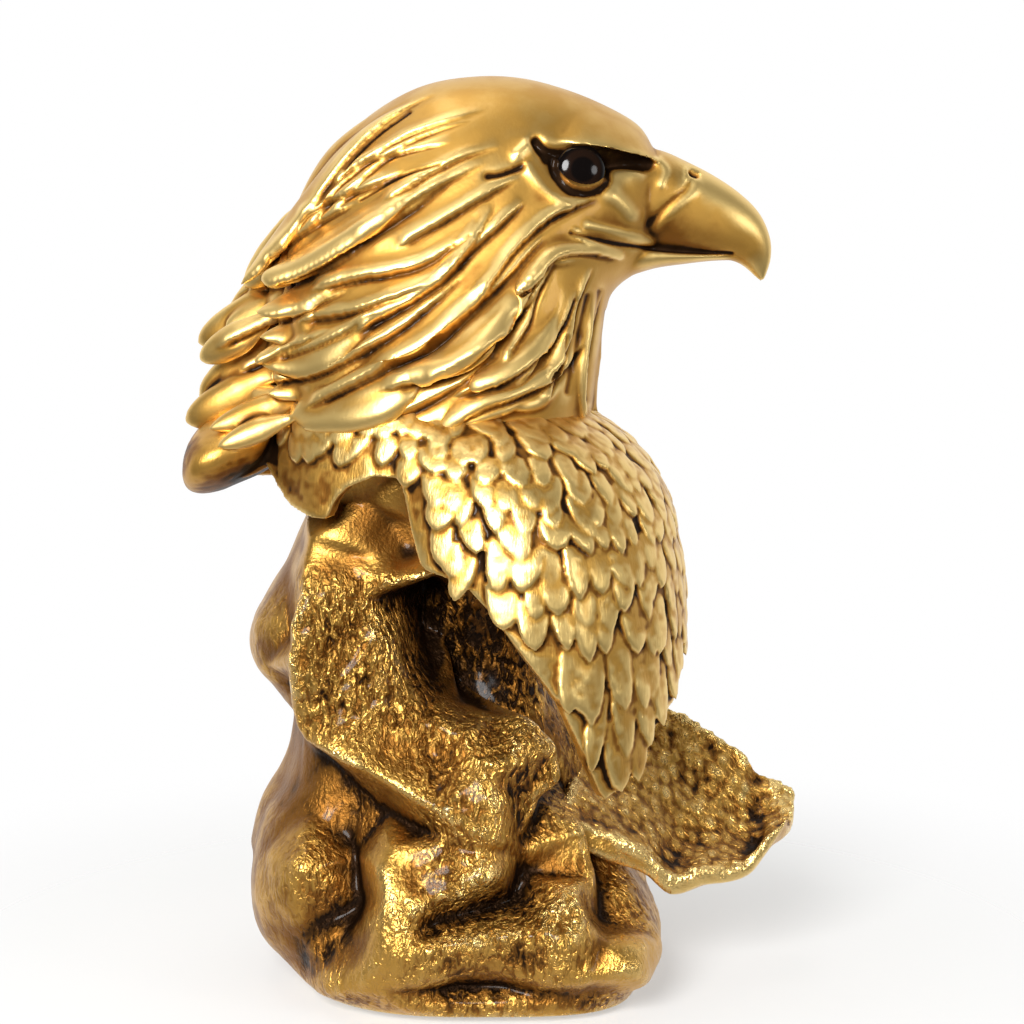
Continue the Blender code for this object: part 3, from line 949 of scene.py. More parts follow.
@dataclass
class Shader:
    """Builder of one node tree.

    Attributes:
        tree: The node tree.
    """

    tree: NodeTree

    @classmethod
    def material(cls, name: str) -> Tuple[Material, "Shader", Node]:
        """Starts a material.

        Args:
            name: Name of the material.

        Returns:
            The material, its builder and its Principled shader.
        """
        made = bpy.data.materials.new(name)
        made.use_nodes = True
        return made, cls(made.node_tree), made.node_tree.nodes["Principled BSDF"]

    def fill(self, node: Node, inputs: Dict[Union[int, str], Input]) -> None:
        """Sets or links the inputs of a node.

        Args:
            node: The node.
            inputs: Values or sockets by input.
        """
        for key, value in inputs.items():
            if isinstance(value, NodeSocket):
                self.tree.links.new(value, node.inputs[key])
            else:
                node.inputs[key].default_value = value

    def node(self, kind: str, inputs: Optional[Dict] = None, **settings: object) -> Node:
        """Adds a node.

        Args:
            kind: Type of the node, without the word that all of them start with.
            inputs: Values or sockets of its inputs.
            **settings: Properties of the node.

        Returns:
            The node.
        """
        made = self.tree.nodes.new(kind if kind.startswith("NodeGroup") else "ShaderNode" + kind)
        for key, value in settings.items():
            setattr(made, key, value)
        self.fill(made, inputs or {})
        return made

    def math(self, operation: str, *values: Input) -> NodeSocket:
        """Returns: result of a sum on numbers or sockets."""
        return self.node("Math", dict(enumerate(values)), operation=operation).outputs[0]

    def vector(self, operation: str, *values: Input) -> NodeSocket:
        """Returns: result of a sum on vectors or sockets, which some sums make a number."""
        made = self.node("VectorMath", dict(enumerate(values)), operation=operation)
        return made.outputs["Value" if operation in ("DOT_PRODUCT", "LENGTH") else "Vector"]

    def noise(self, place: NodeSocket, scale: float, detail: float, out: str = "Fac",
              distortion: float = 0.0) -> NodeSocket:
        """Returns: cloudy noise with that many clouds to a metre and finer layers, pulled about."""
        inputs = {"Vector": place, "Scale": scale, "Detail": detail, "Distortion": distortion}
        return self.node("TexNoise", inputs).outputs[out]

    def blend(self, factor: Input, first: Input, second: Input) -> NodeSocket:
        """Returns: mix of two colours, the factor being the share of the second."""
        return self.node("Mix", {0: factor, 6: first, 7: second}, data_type="RGBA").outputs[2]

    def span(self, value: NodeSocket, low: float, high: float, start: float = 0.0,
             end: float = 1.0) -> NodeSocket:
        """Returns: the value taken smoothly from the range low to high to the range start to end."""
        ends = {0: value, 1: low, 2: high, 3: start, 4: end}
        return self.node("MapRange", ends, interpolation_type="SMOOTHSTEP").outputs[0]

    def attribute(self, name: str) -> NodeSocket:
        """Returns: value of an attribute of the mesh."""
        return self.node("Attribute", attribute_name=name).outputs["Fac"]


def rgba(colour: Sequence[float]) -> Tuple[float, ...]:
    """Returns: red, green and blue with full cover."""
    return (*colour, 1.0)


def patina_and_painted_light_group() -> NodeTree:
    """Shared effect: the gilding's colour and roughness from how deep a point lies in a groove: dark wash and
    painted shade in grooves and hollows, and rubbed gilding and painted highlight on edges.

    Returns:
        The node group.
    """
    group = bpy.data.node_groups.new("gilt_patina_and_painted_light", "ShaderNodeTree")
    for name in ("Hollow", "Tint and painted light", "Satin"):
        group.interface.new_socket(name, in_out="INPUT", socket_type="NodeSocketFloat")
    group.interface.new_socket("Colour", in_out="OUTPUT", socket_type="NodeSocketColor")
    group.interface.new_socket("Roughness", in_out="OUTPUT", socket_type="NodeSocketFloat")
    make = Shader(group)
    entry = make.node("NodeGroupInput").outputs
    mixed = make.math("ADD", entry["Hollow"], entry["Tint and painted light"])
    colour = rgba(Tone.BRIGHT.value)
    for low, high, tone in ((-0.75, 0.0, Tone.GOLD), (0.06, 0.58, Tone.UMBER), (0.55, 1.0, Tone.WASH_AND_SHADE)):
        colour = make.blend(make.span(mixed, low, high), colour, rgba(tone.value))
    rough = make.math("ADD", make.span(mixed, -0.4, 0.8, 0.0, 0.24), entry["Satin"])
    make.node("NodeGroupOutput", {"Colour": colour, "Roughness": rough})
    return group


@dataclass(frozen=True)
class GiltFinish:
    """Gold paint over resin with a dark wash, plus painted shade and highlights from the hollow attribute and
    the hammer marks.

    Attributes:
        name: Name of the material.
        grain: Size of the surface grain in metres.
        bump: Height of the grain.
        satin: Least roughness.
        stretch: Scale of the grain along each axis.
        pitted: Whether hammered bumps cover the surface.
    """

    name: str
    grain: float
    bump: float
    satin: float
    stretch: Place = (1.0, 1.0, 1.0)
    pitted: bool = False

    @staticmethod
    def hammered(make: Shader, place: NodeSocket) -> Sockets:
        """Hammer marks: slanting ripples plus small facets that each tilt their own way.

        Args:
            make: Builder of the material.
            place: Socket of the coordinates.

        Returns:
            Sockets of the height and of the painted shade and highlight of the marks: darker in their gaps,
            lighter on their crests.
        """
        rough = make.attribute(ROUGH)
        slant = {"Vector": place, "Rotation": (0.0, 0.6, 0.0), "Scale": (1.0, 1.0, 0.5)}
        turned = make.node("Mapping", slant).outputs[0]
        ripple = make.noise(turned, 560.0, 3.0, distortion=0.8)
        swirl = make.noise(place, 300.0, 2.0, "Color")
        moved = make.node("MixRGB", {0: 0.003, 1: turned, 2: swirl}, blend_type="ADD").outputs[0]
        cells = make.node("TexVoronoi", {"Vector": moved, "Scale": 420.0, "Randomness": 1.0}).outputs
        lean = make.vector("SUBTRACT", cells["Color"], (0.5, 0.5, 0.5))
        tilt = make.vector("DOT_PRODUCT", make.vector("SUBTRACT", moved, cells["Position"]), lean)
        facet = make.math("MULTIPLY_ADD", tilt, 900.0, make.span(ripple, 0.34, 0.64))
        # painted shade in the gaps of the hammer marks and painted highlight on their crests, as strong as
        # the point is hammered
        gaps = make.math("MULTIPLY", make.span(ripple, 0.34, 0.60, 0.50, -0.30), rough)
        return make.math("MULTIPLY", facet, rough), gaps

    def build(self, patina_and_painted_light: NodeTree) -> Material:
        """Makes the material.

        Args:
            patina_and_painted_light: The shared patina group.

        Returns:
            The material.
        """
        made, make, shader = Shader.material(self.name)
        place = make.node("TexCoord").outputs["Object"]
        tint_and_painted_light = make.span(make.noise(place, 90.0, 4.0), 0.35, 0.75, -0.12, 0.22)
        height = make.noise(make.vector("MULTIPLY", place, self.stretch), 1 / self.grain, 5.0)
        if self.pitted:
            marks, gaps = self.hammered(make, place)
            height = make.math("MULTIPLY_ADD", height, 0.25, marks)
            # the hammer marks add their painted shade and highlight to the random blotches
            tint_and_painted_light = make.math("ADD", gaps, tint_and_painted_light)
        wash_and_painted_light = {"Hollow": make.attribute(HOLLOW), "Tint and painted light": tint_and_painted_light, "Satin": self.satin}
        gilding = make.node("Group", wash_and_painted_light, node_tree=patina_and_painted_light)
        reach = (1.1 if self.pitted else 0.6) * MM
        bump = make.node("Bump", {"Height": height, "Strength": self.bump, "Distance": reach})
        make.fill(shader, {"Base Color": gilding.outputs["Colour"], "Roughness": gilding.outputs["Roughness"],
                           "Normal": bump.outputs[0], "Metallic": 0.92, "Coat Weight": 0.12,
                           "Coat Roughness": 0.12})
        return made


@dataclass(frozen=True)
class PlainFinish:
    """Finish of one colour with a faint grain.

    Attributes:
        name: Name of the material.
        colour: Red, green and blue.
        roughness: Roughness.
        metallic: Metallic value.
        grain: Size of the grain in metres.
        bump: Height of the grain.
    """

    name: str
    colour: Colour
    roughness: float
    metallic: float = 0.0
    grain: float = 1 * MM
    bump: float = 0.1

    def build(self) -> Material:
        """Makes the material.

        Returns:
            The material.
        """
        made, make, shader = Shader.material(self.name)
        noise = make.noise(make.node("TexCoord").outputs["Object"], 1 / self.grain, 4.0)
        dark = tuple(0.7 * part for part in self.colour)
        bump = make.node("Bump", {"Height": noise, "Strength": self.bump, "Distance": 0.3 * MM})
        make.fill(shader, {"Base Color": make.blend(noise, rgba(dark), rgba(self.colour)),
                           "Normal": bump.outputs[0], "Roughness": self.roughness, "Metallic": self.metallic})
        return made


@dataclass(frozen=True)
class GlassFinish:
    """Painted eye under a clear dome.

    Attributes:
        name: Name of the material.
        pupil: Colour of the pupil and the rim.
        iris: Colour of the ring between them.
    """

    name: str
    pupil: Colour
    iris: Colour

    def build(self) -> Material:
        """Makes the material.

        Returns:
            The material.
        """
        made, make, shader = Shader.material(self.name)
        away = make.attribute(IRIS)
        colour = make.blend(make.span(away, 0.42, 0.55), rgba(self.pupil), rgba(self.iris))
        colour = make.blend(make.span(away, 0.70, 0.86), colour, rgba(self.pupil))
        make.fill(shader, {"Base Color": colour, "Roughness": 0.10, "Specular IOR Level": 0.22})
        return made


@dataclass
class Sculpture:
    """Piece that is sculpted over the photo view.

    Attributes:
        sketch: The photo view.
        material: Look of the casting.
    """

    sketch: Sketch
    material: Material


@dataclass
class Head(Sculpture):
    """Head, beak and mane.

    Attributes:
        voxel: Size of the skin's quads in metres.
        core: Stations of the skull and the neck, as edges() reads them.
        beak: Stations of the upper beak.
        jaw: Stations of the lower beak.
        nape: Stations of the lump behind the neck.
        brow: Stations of the brow, as edges() reads them.
        locks: Locks of the mane, which the far side mirrors.
        folds: Edges of the strands on the locks.
        strokes: Creases, ridges and tints of the face and the neck. Their darkness is painted shade in the
            eye socket, under the brow, in the nostril and under the beak; lighter ones are painted highlights
            on ridges and along the top of the beak.
        worn: Where the skin is smoothed once more: the brow's edge and the seam of the beak.
        zones: The lighter mane, and painted shade on the locks at the nape.
        back_rows: Rows of locks behind: pixels from the top, length in pixels and number of locks.
        back_gap: Millimetres between the locks of a row.
        back_low: Pixels from the top that the locks behind end at.
    """

    voxel: float = 0.52 * MM
    core: Table = (
        (655, 152, 648, 262, 11), (640, 127, 634, 274, 15.5), (612, 109, 620, 284, 19.5),
        (570, 91, 610, 296, 23.5), (520, 78, 606, 312, 27), (470, 77, 604, 330, 30), (420, 87, 602, 348, 33),
        (372, 114, 599, 366, 35.5), (332, 153, 596, 384, 38), (303, 203, 594, 396, 40),
        (286, 250, 593, 404, 41), (278, 300, 592, 411, 41), (278, 345, 592, 417, 40.5),
        (282, 385, 592, 421, 40), (292, 415, 590, 426, 39), (305, 440, 585, 440, 37),
    )
    beak: Table = (
        (590, 160, 590, 250, 14), (625, 156, 620, 250, 14.5), (655, 149, 648, 252, 12.8),
        (690, 163, 680, 256, 10.4), (718, 178, 704, 258, 8.6), (742, 195, 724, 259, 7),
        (760, 214, 738, 263, 5.2), (770, 237, 748, 270, 3.6), (771, 258, 755, 277, 2.2),
        (765, 279, 761, 282, 0.8),
    )
    jaw: Table = (
        (600, 236, 604, 282, 11), (630, 240, 632, 275, 10.5), (655, 244, 656, 268, 9.5),
        (685, 248, 684, 264, 8), (712, 250, 710, 261, 6), (735, 252, 733, 260, 3),
    )
    nape: Table = (
        (276, 250, 345, 255, 7), (254, 296, 345, 300, 8), (240, 335, 345, 340, 9), (232, 375, 345, 378, 10),
        (222, 405, 345, 410, 11), (206, 432, 345, 438, 13), (205, 450, 345, 455, 13),
    )
    brow: Table = (
        (470, 84, 500, 134, 20), (510, 82, 530, 136, 22.5), (545, 88, 560, 145, 24), (580, 97, 590, 149, 24),
        (610, 110, 617, 154, 21), (635, 125, 640, 159, 16.5), (652, 147, 656, 163, 11),
    )
    locks: Tuple[Lock, ...] = (
        Lock(((440, 88), (365, 135), (300, 215), (234, 297)), 24, 1.2, 2.6, 0.1),
        Lock(((440, 150), (389, 200), (330, 245), (285, 275), (262, 284)), 24, 1.8, 2.6),
        Lock(((400, 298), (340, 332), (295, 354), (252, 367)), 25, 3.6, 2.6),
        Lock(((390, 335), (345, 360), (305, 374), (272, 378)), 16, 2.2, 2.6),
        Lock(((450, 335), (395, 376), (345, 402), (286, 419)), 32, 4.0, 2.8),
        Lock(((520, 270), (482, 322), (450, 355), (405, 381)), 27, 3.0, 2.4),
        Lock(((560, 300), (530, 345), (500, 372), (470, 390)), 20, 2.6, 2.4),
        Lock(((566, 350), (520, 385), (470, 405), (441, 434)), 22, 2.8, 2.6),
        Lock(((480, 380), (436, 406), (390, 424), (352, 434)), 18, 2.2),
        Lock(((400, 385), (355, 412), (330, 428)), 16, 1.8),
        Lock(((618, 256), (588, 251), (556, 250), (532, 270), (516, 300)), 13, 2.2),
        Lock(((582, 280), (566, 322), (557, 352), (544, 382)), 11, 1.8),
        Lock(((570, 375), (538, 396), (510, 413)), 13, 2.2),
        Lock(((597, 282), (588, 330), (580, 375), (582, 426)), 9, 1.6),
        Lock(((607, 296), (601, 345), (595, 390), (596, 424)), 8, 1.4),
        Lock(((370, 250), (320, 285), (285, 305), (254, 319)), 18, 2.6, 2.4),
        Lock(((355, 300), (312, 322), (282, 334), (256, 341)), 14, 2.4, 2.4),
        Lock(((365, 355), (325, 378), (292, 390), (264, 397)), 15, 2.4, 2.4),
        Lock(((330, 262), (280, 298), (235, 326), (195, 344)), 22, 2.0, 3.6, 0.0, 3.0),
        Lock(((320, 312), (275, 345), (235, 374), (200, 397)), 21, 2.0, 3.6, 0.0, 6.0),
        Lock(((315, 345), (265, 380), (225, 402), (190, 418)), 21, 2.0, 3.6, 0.0, 10.0),
        Lock(((320, 240), (282, 272), (252, 298), (226, 320)), 16, 2.0, 3.6, 0.0, 0.0),
        Lock(((360, 160), (315, 212), (280, 252), (246, 290)), 18, 2.0, 3.6, 0.0, 7.0),
        Lock(((300, 350), (262, 372), (235, 388), (206, 402)), 17, 2.0, 3.6, 0.0, 1.0),
        Lock(((300, 300), (262, 325), (235, 342), (208, 356)), 17, 2.0, 3.6, 0.0, 14.0),
        Lock(((315, 325), (280, 350), (250, 368), (218, 380)), 17, 2.0, 3.6, 0.2, -9.0),
        Lock(((320, 372), (280, 395), (250, 408), (214, 418)), 17, 2.0, 3.6, 0.2, -11.0),
        Lock(((315, 275), (278, 302), (250, 318), (222, 330)), 16, 2.0, 3.6, 0.2, -8.0),
        Lock(((310, 405), (275, 422), (245, 434), (212, 442)), 16, 2.0, 3.6, 0.2, -13.0),
        Lock(((318, 388), (280, 402), (246, 416), (204, 432)), 15, 2.0, 3.2, 0.3, -24.0),
        Lock(((306, 412), (272, 424), (244, 436), (214, 450)), 13, 2.0, 3.2, 0.3, -29.0),
    )
    folds: Tuple[Fold, ...] = (
        Fold(((450, 182), (405, 215), (362, 242), (330, 262), (298, 279), (268, 287)), 20, 2.0),
        Fold(((480, 228), (430, 262), (398, 273), (362, 279), (332, 286)), 15, 1.7),
        Fold(((495, 205), (470, 248), (447, 278), (425, 294), (402, 308), (374, 323)), 18, 2.2),
        Fold(((432, 285), (395, 298), (355, 312), (316, 319)), 14, 1.5),
        Fold(((400, 302), (344, 333), (316, 346), (285, 357)), 11, 1.0),
        Fold(((422, 318), (380, 345), (353, 359), (316, 376), (283, 381)), 15, 1.7),
        Fold(((545, 236), (505, 280), (470, 312), (430, 347), (398, 364)), 22, 2.0),
        Fold(((480, 302), (440, 340), (398, 363), (362, 381), (328, 398)), 17, 1.7),
        Fold(((500, 352), (455, 387), (415, 410), (370, 427), (318, 432)), 20, 1.8),
        Fold(((548, 272), (522, 312), (492, 346), (455, 373), (408, 385)), 21, 2.2),
        Fold(((577, 288), (562, 325), (537, 359), (505, 382), (472, 393)), 17, 2.0),
        Fold(((586, 340), (560, 374), (520, 397), (480, 412), (443, 436)), 17, 1.8),
        Fold(((602, 196), (570, 209), (545, 223), (515, 251), (488, 288)), 15, 1.7),
        Fold(((624, 259), (590, 254), (560, 258), (538, 277), (520, 308)), 13, 1.6),
        Fold(((525, 202), (500, 226), (478, 246), (460, 264)), 13, 1.6),
        Fold(((485, 163), (440, 186), (410, 205), (368, 234)), 13, 1.0),
        Fold(((452, 142), (407, 152), (371, 162), (343, 178)), 9, 0.9),
        Fold(((405, 170), (375, 185), (344, 197), (312, 215)), 11, 1.1),
        Fold(((485, 110), (430, 128), (390, 148), (350, 180), (320, 218)), 11, 0.9),
        Fold(((435, 93), (385, 122), (345, 162), (313, 207), (286, 246)), 11, 0.9),
        Fold(((355, 204), (330, 217), (300, 236), (272, 258)), 11, 1.2),
        Fold(((348, 290), (310, 310), (270, 325), (232, 342)), 13, 1.4),
        Fold(((332, 330), (290, 350), (252, 368)), 11, 1.2),
        Fold(((604, 290), (593, 330), (586, 375), (586, 420)), 8, 1.2),
        Fold(((577, 300), (567, 335), (560, 367), (550, 395)), 8, 1.2),
        Fold(((593, 268), (579, 300), (572, 332)), 7, 1.0),
        Fold(((556, 262), (540, 290), (528, 325), (512, 352)), 10, 1.3),
        Fold(((465, 275), (432, 305), (400, 330), (365, 350)), 12, 1.2),
        Fold(((530, 300), (500, 335), (470, 358), (438, 375)), 10, 1.0),
        Fold(((518, 178), (486, 196), (450, 218), (412, 240)), 13, 1.2),
        Fold(((500, 146), (462, 158), (428, 176), (398, 194)), 12, 0.8),
        Fold(((470, 120), (420, 138), (378, 166), (344, 202)), 12, 0.8),
    )
    strokes: Tuple[Stroke, ...] = (
        # painted shade in the eye socket and under the brow, with its dark left corner
        Stroke(((560, 164), (584, 167), (608, 165)), 13, -3.0, 0.3),
        Stroke(((608, 164), (628, 163), (645, 163)), 6, -1.8, 0.6),
        Stroke(((542, 149), (556, 161)), 7, 0.0, 0.9),
        Stroke(((536, 141), (547, 149), (577, 154), (607, 158), (645, 166)), 5.0, -1.4, 0.9),
        Stroke(((536, 144), (546, 158)), 5, -1.0, 0.6),
        # the lighter ridges of the gape and the cere below are painted highlights; the mouth line is a darker
        # crease
        Stroke(((587, 225), (618, 232), (650, 241)), 5.0, 0.7, -0.2),
        Stroke(((571, 233), (597, 240), (630, 246), (667, 250), (700, 252), (732, 254)), 1.8, -0.7, 0.55),
        Stroke(((576, 234), (593, 244), (618, 255)), 5.5, 0.7, -0.2),
        Stroke(((659, 160), (666, 171), (662, 184)), 4.5, 0.6, -0.2),
        Stroke(((690, 180), (686, 189), (667, 204), (648, 224)), 3.0, -0.35, 0.08),
        Stroke(((698, 184), (693, 193), (675, 209), (656, 228)), 4.5, 0.4),
        # painted shade in the nostril, and a painted highlight on its rim
        Stroke(((692, 172), (697, 174)), 3.0, -2.2, 1.2),
        Stroke(((687, 178), (687, 171)), 3.0, 0.5, -0.3),
        Stroke(((613, 196), (622, 204), (630, 214)), 10, 1.2),
        # painted shade under the beak, and a painted highlight along its top
        Stroke(((660, 226), (700, 234), (745, 246)), 18, 0.0, 0.62),
        Stroke(((695, 178), (730, 194), (757, 222)), 13, 0.0, -0.9),
        Stroke(((561, 158), (562, 171), (572, 185), (587, 188), (601, 181), (606, 169)), 1.8, 1.4, 0.95),
        Stroke(((554, 158), (556, 177), (570, 193), (592, 195), (609, 184), (614, 168)), 3.0, -0.6, 0.6),
        Stroke(((557, 160), (560, 175), (572, 188), (588, 191), (603, 184), (610, 170)), 3.4, 0.0, 0.8),
        Stroke(((527, 168), (545, 190), (567, 206)), 5.5, 0.7),
        # painted highlight on the bump beside the eye
        Stroke(((518, 154), (527, 146)), 6, 1.2, -0.3),
        Stroke(((488, 176), (502, 174), (522, 167)), 4.0, -0.9, 0.4),
        Stroke(((600, 292), (592, 340), (587, 400)), 3.2, -0.6, 0.25),
        Stroke(((588, 296), (577, 345), (568, 392)), 3.2, -0.6, 0.25),
        Stroke(((574, 302), (562, 345), (550, 380)), 3.2, -0.5, 0.2),
        Stroke(((608, 312), (602, 355), (599, 408)), 3.0, -0.5, 0.2),
        Stroke(((410, 112), (375, 138), (345, 170)), 1.8, -0.5, 0.3),
        Stroke(((440, 165), (400, 178), (360, 200)), 1.8, -0.5, 0.3),
    )
    worn: Tuple[Stroke, ...] = (
        Stroke(((595, 152), (622, 158), (650, 166)), 6, 0.0),
        Stroke(((649, 176), (650, 205), (651, 232)), 9, 0.0),
    )
    zones: Tuple[Zone, ...] = (Zone((600, 560), (190, 250), -0.10), Zone((290, 250), (295, 335), 0.45))
    back_rows: Table = ((104, 115, 5), (165, 115, 6), (225, 110, 7), (280, 100, 7), (325, 90, 7))
    back_gap: float = 8.5
    back_low: float = 444

    def back_locks(self) -> List[Lock]:
        """Rows of locks down the back of the head, which the photo doesn't show.

        Returns:
            The locks, wider and more lifted in the lower rows.
        """
        random = np.random.default_rng(11)
        made: List[Lock] = []
        part = np.arange(4) / 3
        for top, reach, count in self.back_rows:
            lower = min(1.0, (top - self.back_rows[0][0]) / 120)
            for number in range(int(count)):
                side = (number - (count - 1) / 2) * self.back_gap + random.uniform(-2, 2)
                start = top + 0.7 * abs(side) + random.uniform(-12, 12)
                bend = random.uniform(-3, 3)
                depth = side * (1 + 0.12 * part) + bend * part ** 2
                line = tuple(zip(depth, np.minimum(start + reach * part, self.back_low)))
                width = random.uniform(14, 18) + 3 * lower
                roll = random.uniform(-0.25, 0.25)
                made.append(Lock(line, width, 1.8 + 1.8 * lower, 2.4, roll, back=True))
        return made

    def build(self) -> None:
        """Sculpts the head and puts it in place of the CAD casting."""
        sketch = self.sketch
        core = fan(sketch, self.core, rings=70, around=90, power=0.92)
        beak = fan(sketch, self.beak, rings=50, around=40, power=0.9)
        jaw = fan(sketch, self.jaw, rings=30, around=32, power=0.9)
        nape = fan(sketch, self.nape, rings=40, around=48)
        parts = [core, beak, jaw, eave(sketch, self.brow, rings=60), nape]
        behind = Surface.joined((core, nape)).tree()
        parts += [lock.surface(sketch, behind) for lock in self.back_locks()]
        tree = core.tree()
        for lock in self.locks:
            made = lock.surface(sketch, tree)
            parts += [made, made.mirrored(sketch.shift[1])]
        casting = Casting.fused("head_casting", Surface.joined(parts), self.voxel)
        casting.smooth(rounds=6)
        pixels = sketch.pixel(casting.points)
        sideways = ramp(np.abs(casting.normals()[:, 1]), 0.08, 0.48)
        casting.push(sideways * sum(fold.amount(pixels) for fold in self.folds))
        casting.smooth(rounds=2)
        casting.push(sum(stroke.amount(pixels) for stroke in self.strokes))
        casting.smooth(rounds=1)
        worn = np.max([stroke.bell(pixels) for stroke in self.worn], axis=0)
        casting.smooth(rounds=9, share=0.5 * worn[:, None])
        # painted shade and highlights of the strokes and wash in their creases, then the lighter mane and
        # painted shade at the nape
        casting.tint_and_painted_light = sum(stroke.dark * stroke.bell(pixels) for stroke in self.strokes)
        casting.tint_and_painted_light += sum(zone.amount(pixels) for zone in self.zones)
        casting.finish(self.material, "gilt_feathers", ("eagle_head",), near=9, wide=90)


@dataclass
class Cape(Sculpture):
    """Collar and bib with their feathers.

    Attributes:
        voxel: Size of the skin's quads in metres.
        collar: Height of the collar, in heights of the statue.
        axis: Sketch point on the neck's axis.
        drop: Metres below the collar in which most of the spread is reached.
        shoulder: Metres that the shell rises above the collar.
        wall: Thickness of the shell in metres.
        first: Metres below the collar of the first row of feathers.
        last: The same of the last row, in heights of the statue.
        grown: Metres below the collar where feathers reach their full size.
        halves: Half width in metres of the first feathers, and what is added down to the full size.
        lengths: Length in metres of the first feathers, and what is added down to the full size.
        bare: Bearings outside which the collar is bare.
        scales: Bearing before which the collar has small scales only.
        back: Pixels from the left that the back lobe ends at.
        flap: Pixels from the left where the painted shade on the collar's underside starts and where it is
            full.
        flap_top: Pixels from the top where it starts, on the back lobe and on the collar.
        flap_fade: Pixels down to where it is full.
        flap_dark: Painted shade on the back lobe and on the collar's underside.
        edge: Metres above the rim where its painted shade starts and where it is full.
        tip: Pixels from the top where the bib's tip starts to darken and where it is darkest.
        stations: Bearing, radius at the collar and spread in millimetres, height of the rim.
        lobe: Stations of the lump at the back of the collar, as edges() reads them.
    """

    voxel: float = 0.50 * MM
    collar: float = 0.634
    axis: Pixel = (432.0, 430.0)
    drop: float = 14 * MM
    shoulder: float = 8 * MM
    wall: float = 4.2 * MM
    first: float = -6 * MM
    last: float = 0.41
    grown: float = 85 * MM
    halves: Pair = (3.4 * MM, 1.1 * MM)
    lengths: Pair = (7.4 * MM, 21.6 * MM)
    bare: Pair = (-150.0, 140.0)
    scales: float = -97.0
    back: float = 278.0
    flap: Pair = (425.0, 413.0)
    flap_top: Pair = (425.0, 458.0)
    flap_fade: float = 24.0
    flap_dark: Pair = (1.05, 0.66)
    edge: Pair = (4.2 * MM, 0.7 * MM)
    tip: Pair = (690.0, 770.0)
    stations: Table = (
        (-180, 60, 7, 0.572), (-172, 60, 7, 0.557), (-166, 56, 6, 0.560), (-160, 50, 5, 0.570),
        (-156, 46, 4, 0.585), (-151, 44.5, 4, 0.569), (-141, 44, 4, 0.546), (-131, 43.5, 5, 0.536),
        (-124, 43, 5, 0.535), (-121, 42.5, 5.5, 0.556), (-117, 42, 6, 0.569), (-107, 42, 6.5, 0.582),
        (-98, 42, 7.5, 0.580), (-94, 42, 9, 0.520), (-91, 42, 11, 0.490), (-80, 42, 17, 0.478),
        (-73, 42.2, 22, 0.441), (-66, 42.5, 25.5, 0.394), (-60, 42.8, 27, 0.355), (-56, 43, 28, 0.310),
        (-50, 43.2, 28, 0.250), (-45, 43.5, 28, 0.262), (-38, 43.7, 28, 0.286), (-32, 44, 28, 0.322),
        (-24, 44, 27.5, 0.334), (-17, 44, 27, 0.380), (0, 44, 25, 0.410), (12, 43.5, 20, 0.450),
        (24, 43, 15, 0.49), (60, 42, 9, 0.53), (100, 42, 8, 0.53), (125, 44, 10, 0.535),
        (140, 50, 10, 0.548), (155, 57, 8, 0.552), (168, 60, 7, 0.556), (180, 60, 7, 0.572),
    )
    lobe: Table = (
        (300, 398, 284, 460, 18), (264, 402, 252, 477, 26), (236, 406, 226, 488, 30),
        (212, 415, 204, 492, 29), (196, 432, 192, 488, 22), (186, 454, 186, 476, 8),
    )

    @property
    def neck(self) -> Array:
        """Returns: middle of the neck on the floor."""
        across = self.sketch.place(*np.array(self.axis), np.array(0.0))[0]
        return np.array((across, self.sketch.shift[1], 0.0))

    def column(self, bearing: Array, number: int) -> Array:
        """Returns: values of a column of the stations at bearings in degrees."""
        table = np.asarray(self.stations)
        return np.interp((bearing + 180) % 360 - 180, table[:, 0], table[:, number])

    def skin(self, bearing: Array, drop: Array) -> Array:
        """Outer surface: the radius grows from the neck by a spread that levels off with the drop.

        Args:
            bearing: Degrees round the neck.
            drop: Metres below the collar.

        Returns:
            Places on the surface.
        """
        radius = (self.column(bearing, 1) + self.column(bearing, 2) * (1 - np.exp(-drop / self.drop))) * MM
        turn = np.radians(bearing)
        top = self.collar * self.sketch.height
        return self.neck + np.stack((radius * np.cos(turn), radius * np.sin(turn), top - drop), axis=-1)

    def shell(self) -> Surface:
        """Closed shell: outer surface from above the collar to the rim and back up inside the wall.

        Returns:
            The shell.
        """
        bearing = np.linspace(-180, 180, 240, endpoint=False)
        depth = (self.collar - self.column(bearing, 3)) * self.sketch.height
        steps = np.linspace(0, 1, 48)[:, None]
        drop = steps * (depth + self.shoulder) - self.shoulder
        outer = self.skin(np.broadcast_to(bearing, drop.shape), drop)
        inward = self.neck - outer
        inward[..., 2] = 0
        inner = outer + unit(inward) * self.wall
        inner[..., 2] += 0.6 * MM
        rings = np.concatenate((outer, inner[::-1]), axis=0)
        return Surface.from_rings(rings.transpose(1, 0, 2), loop=True)

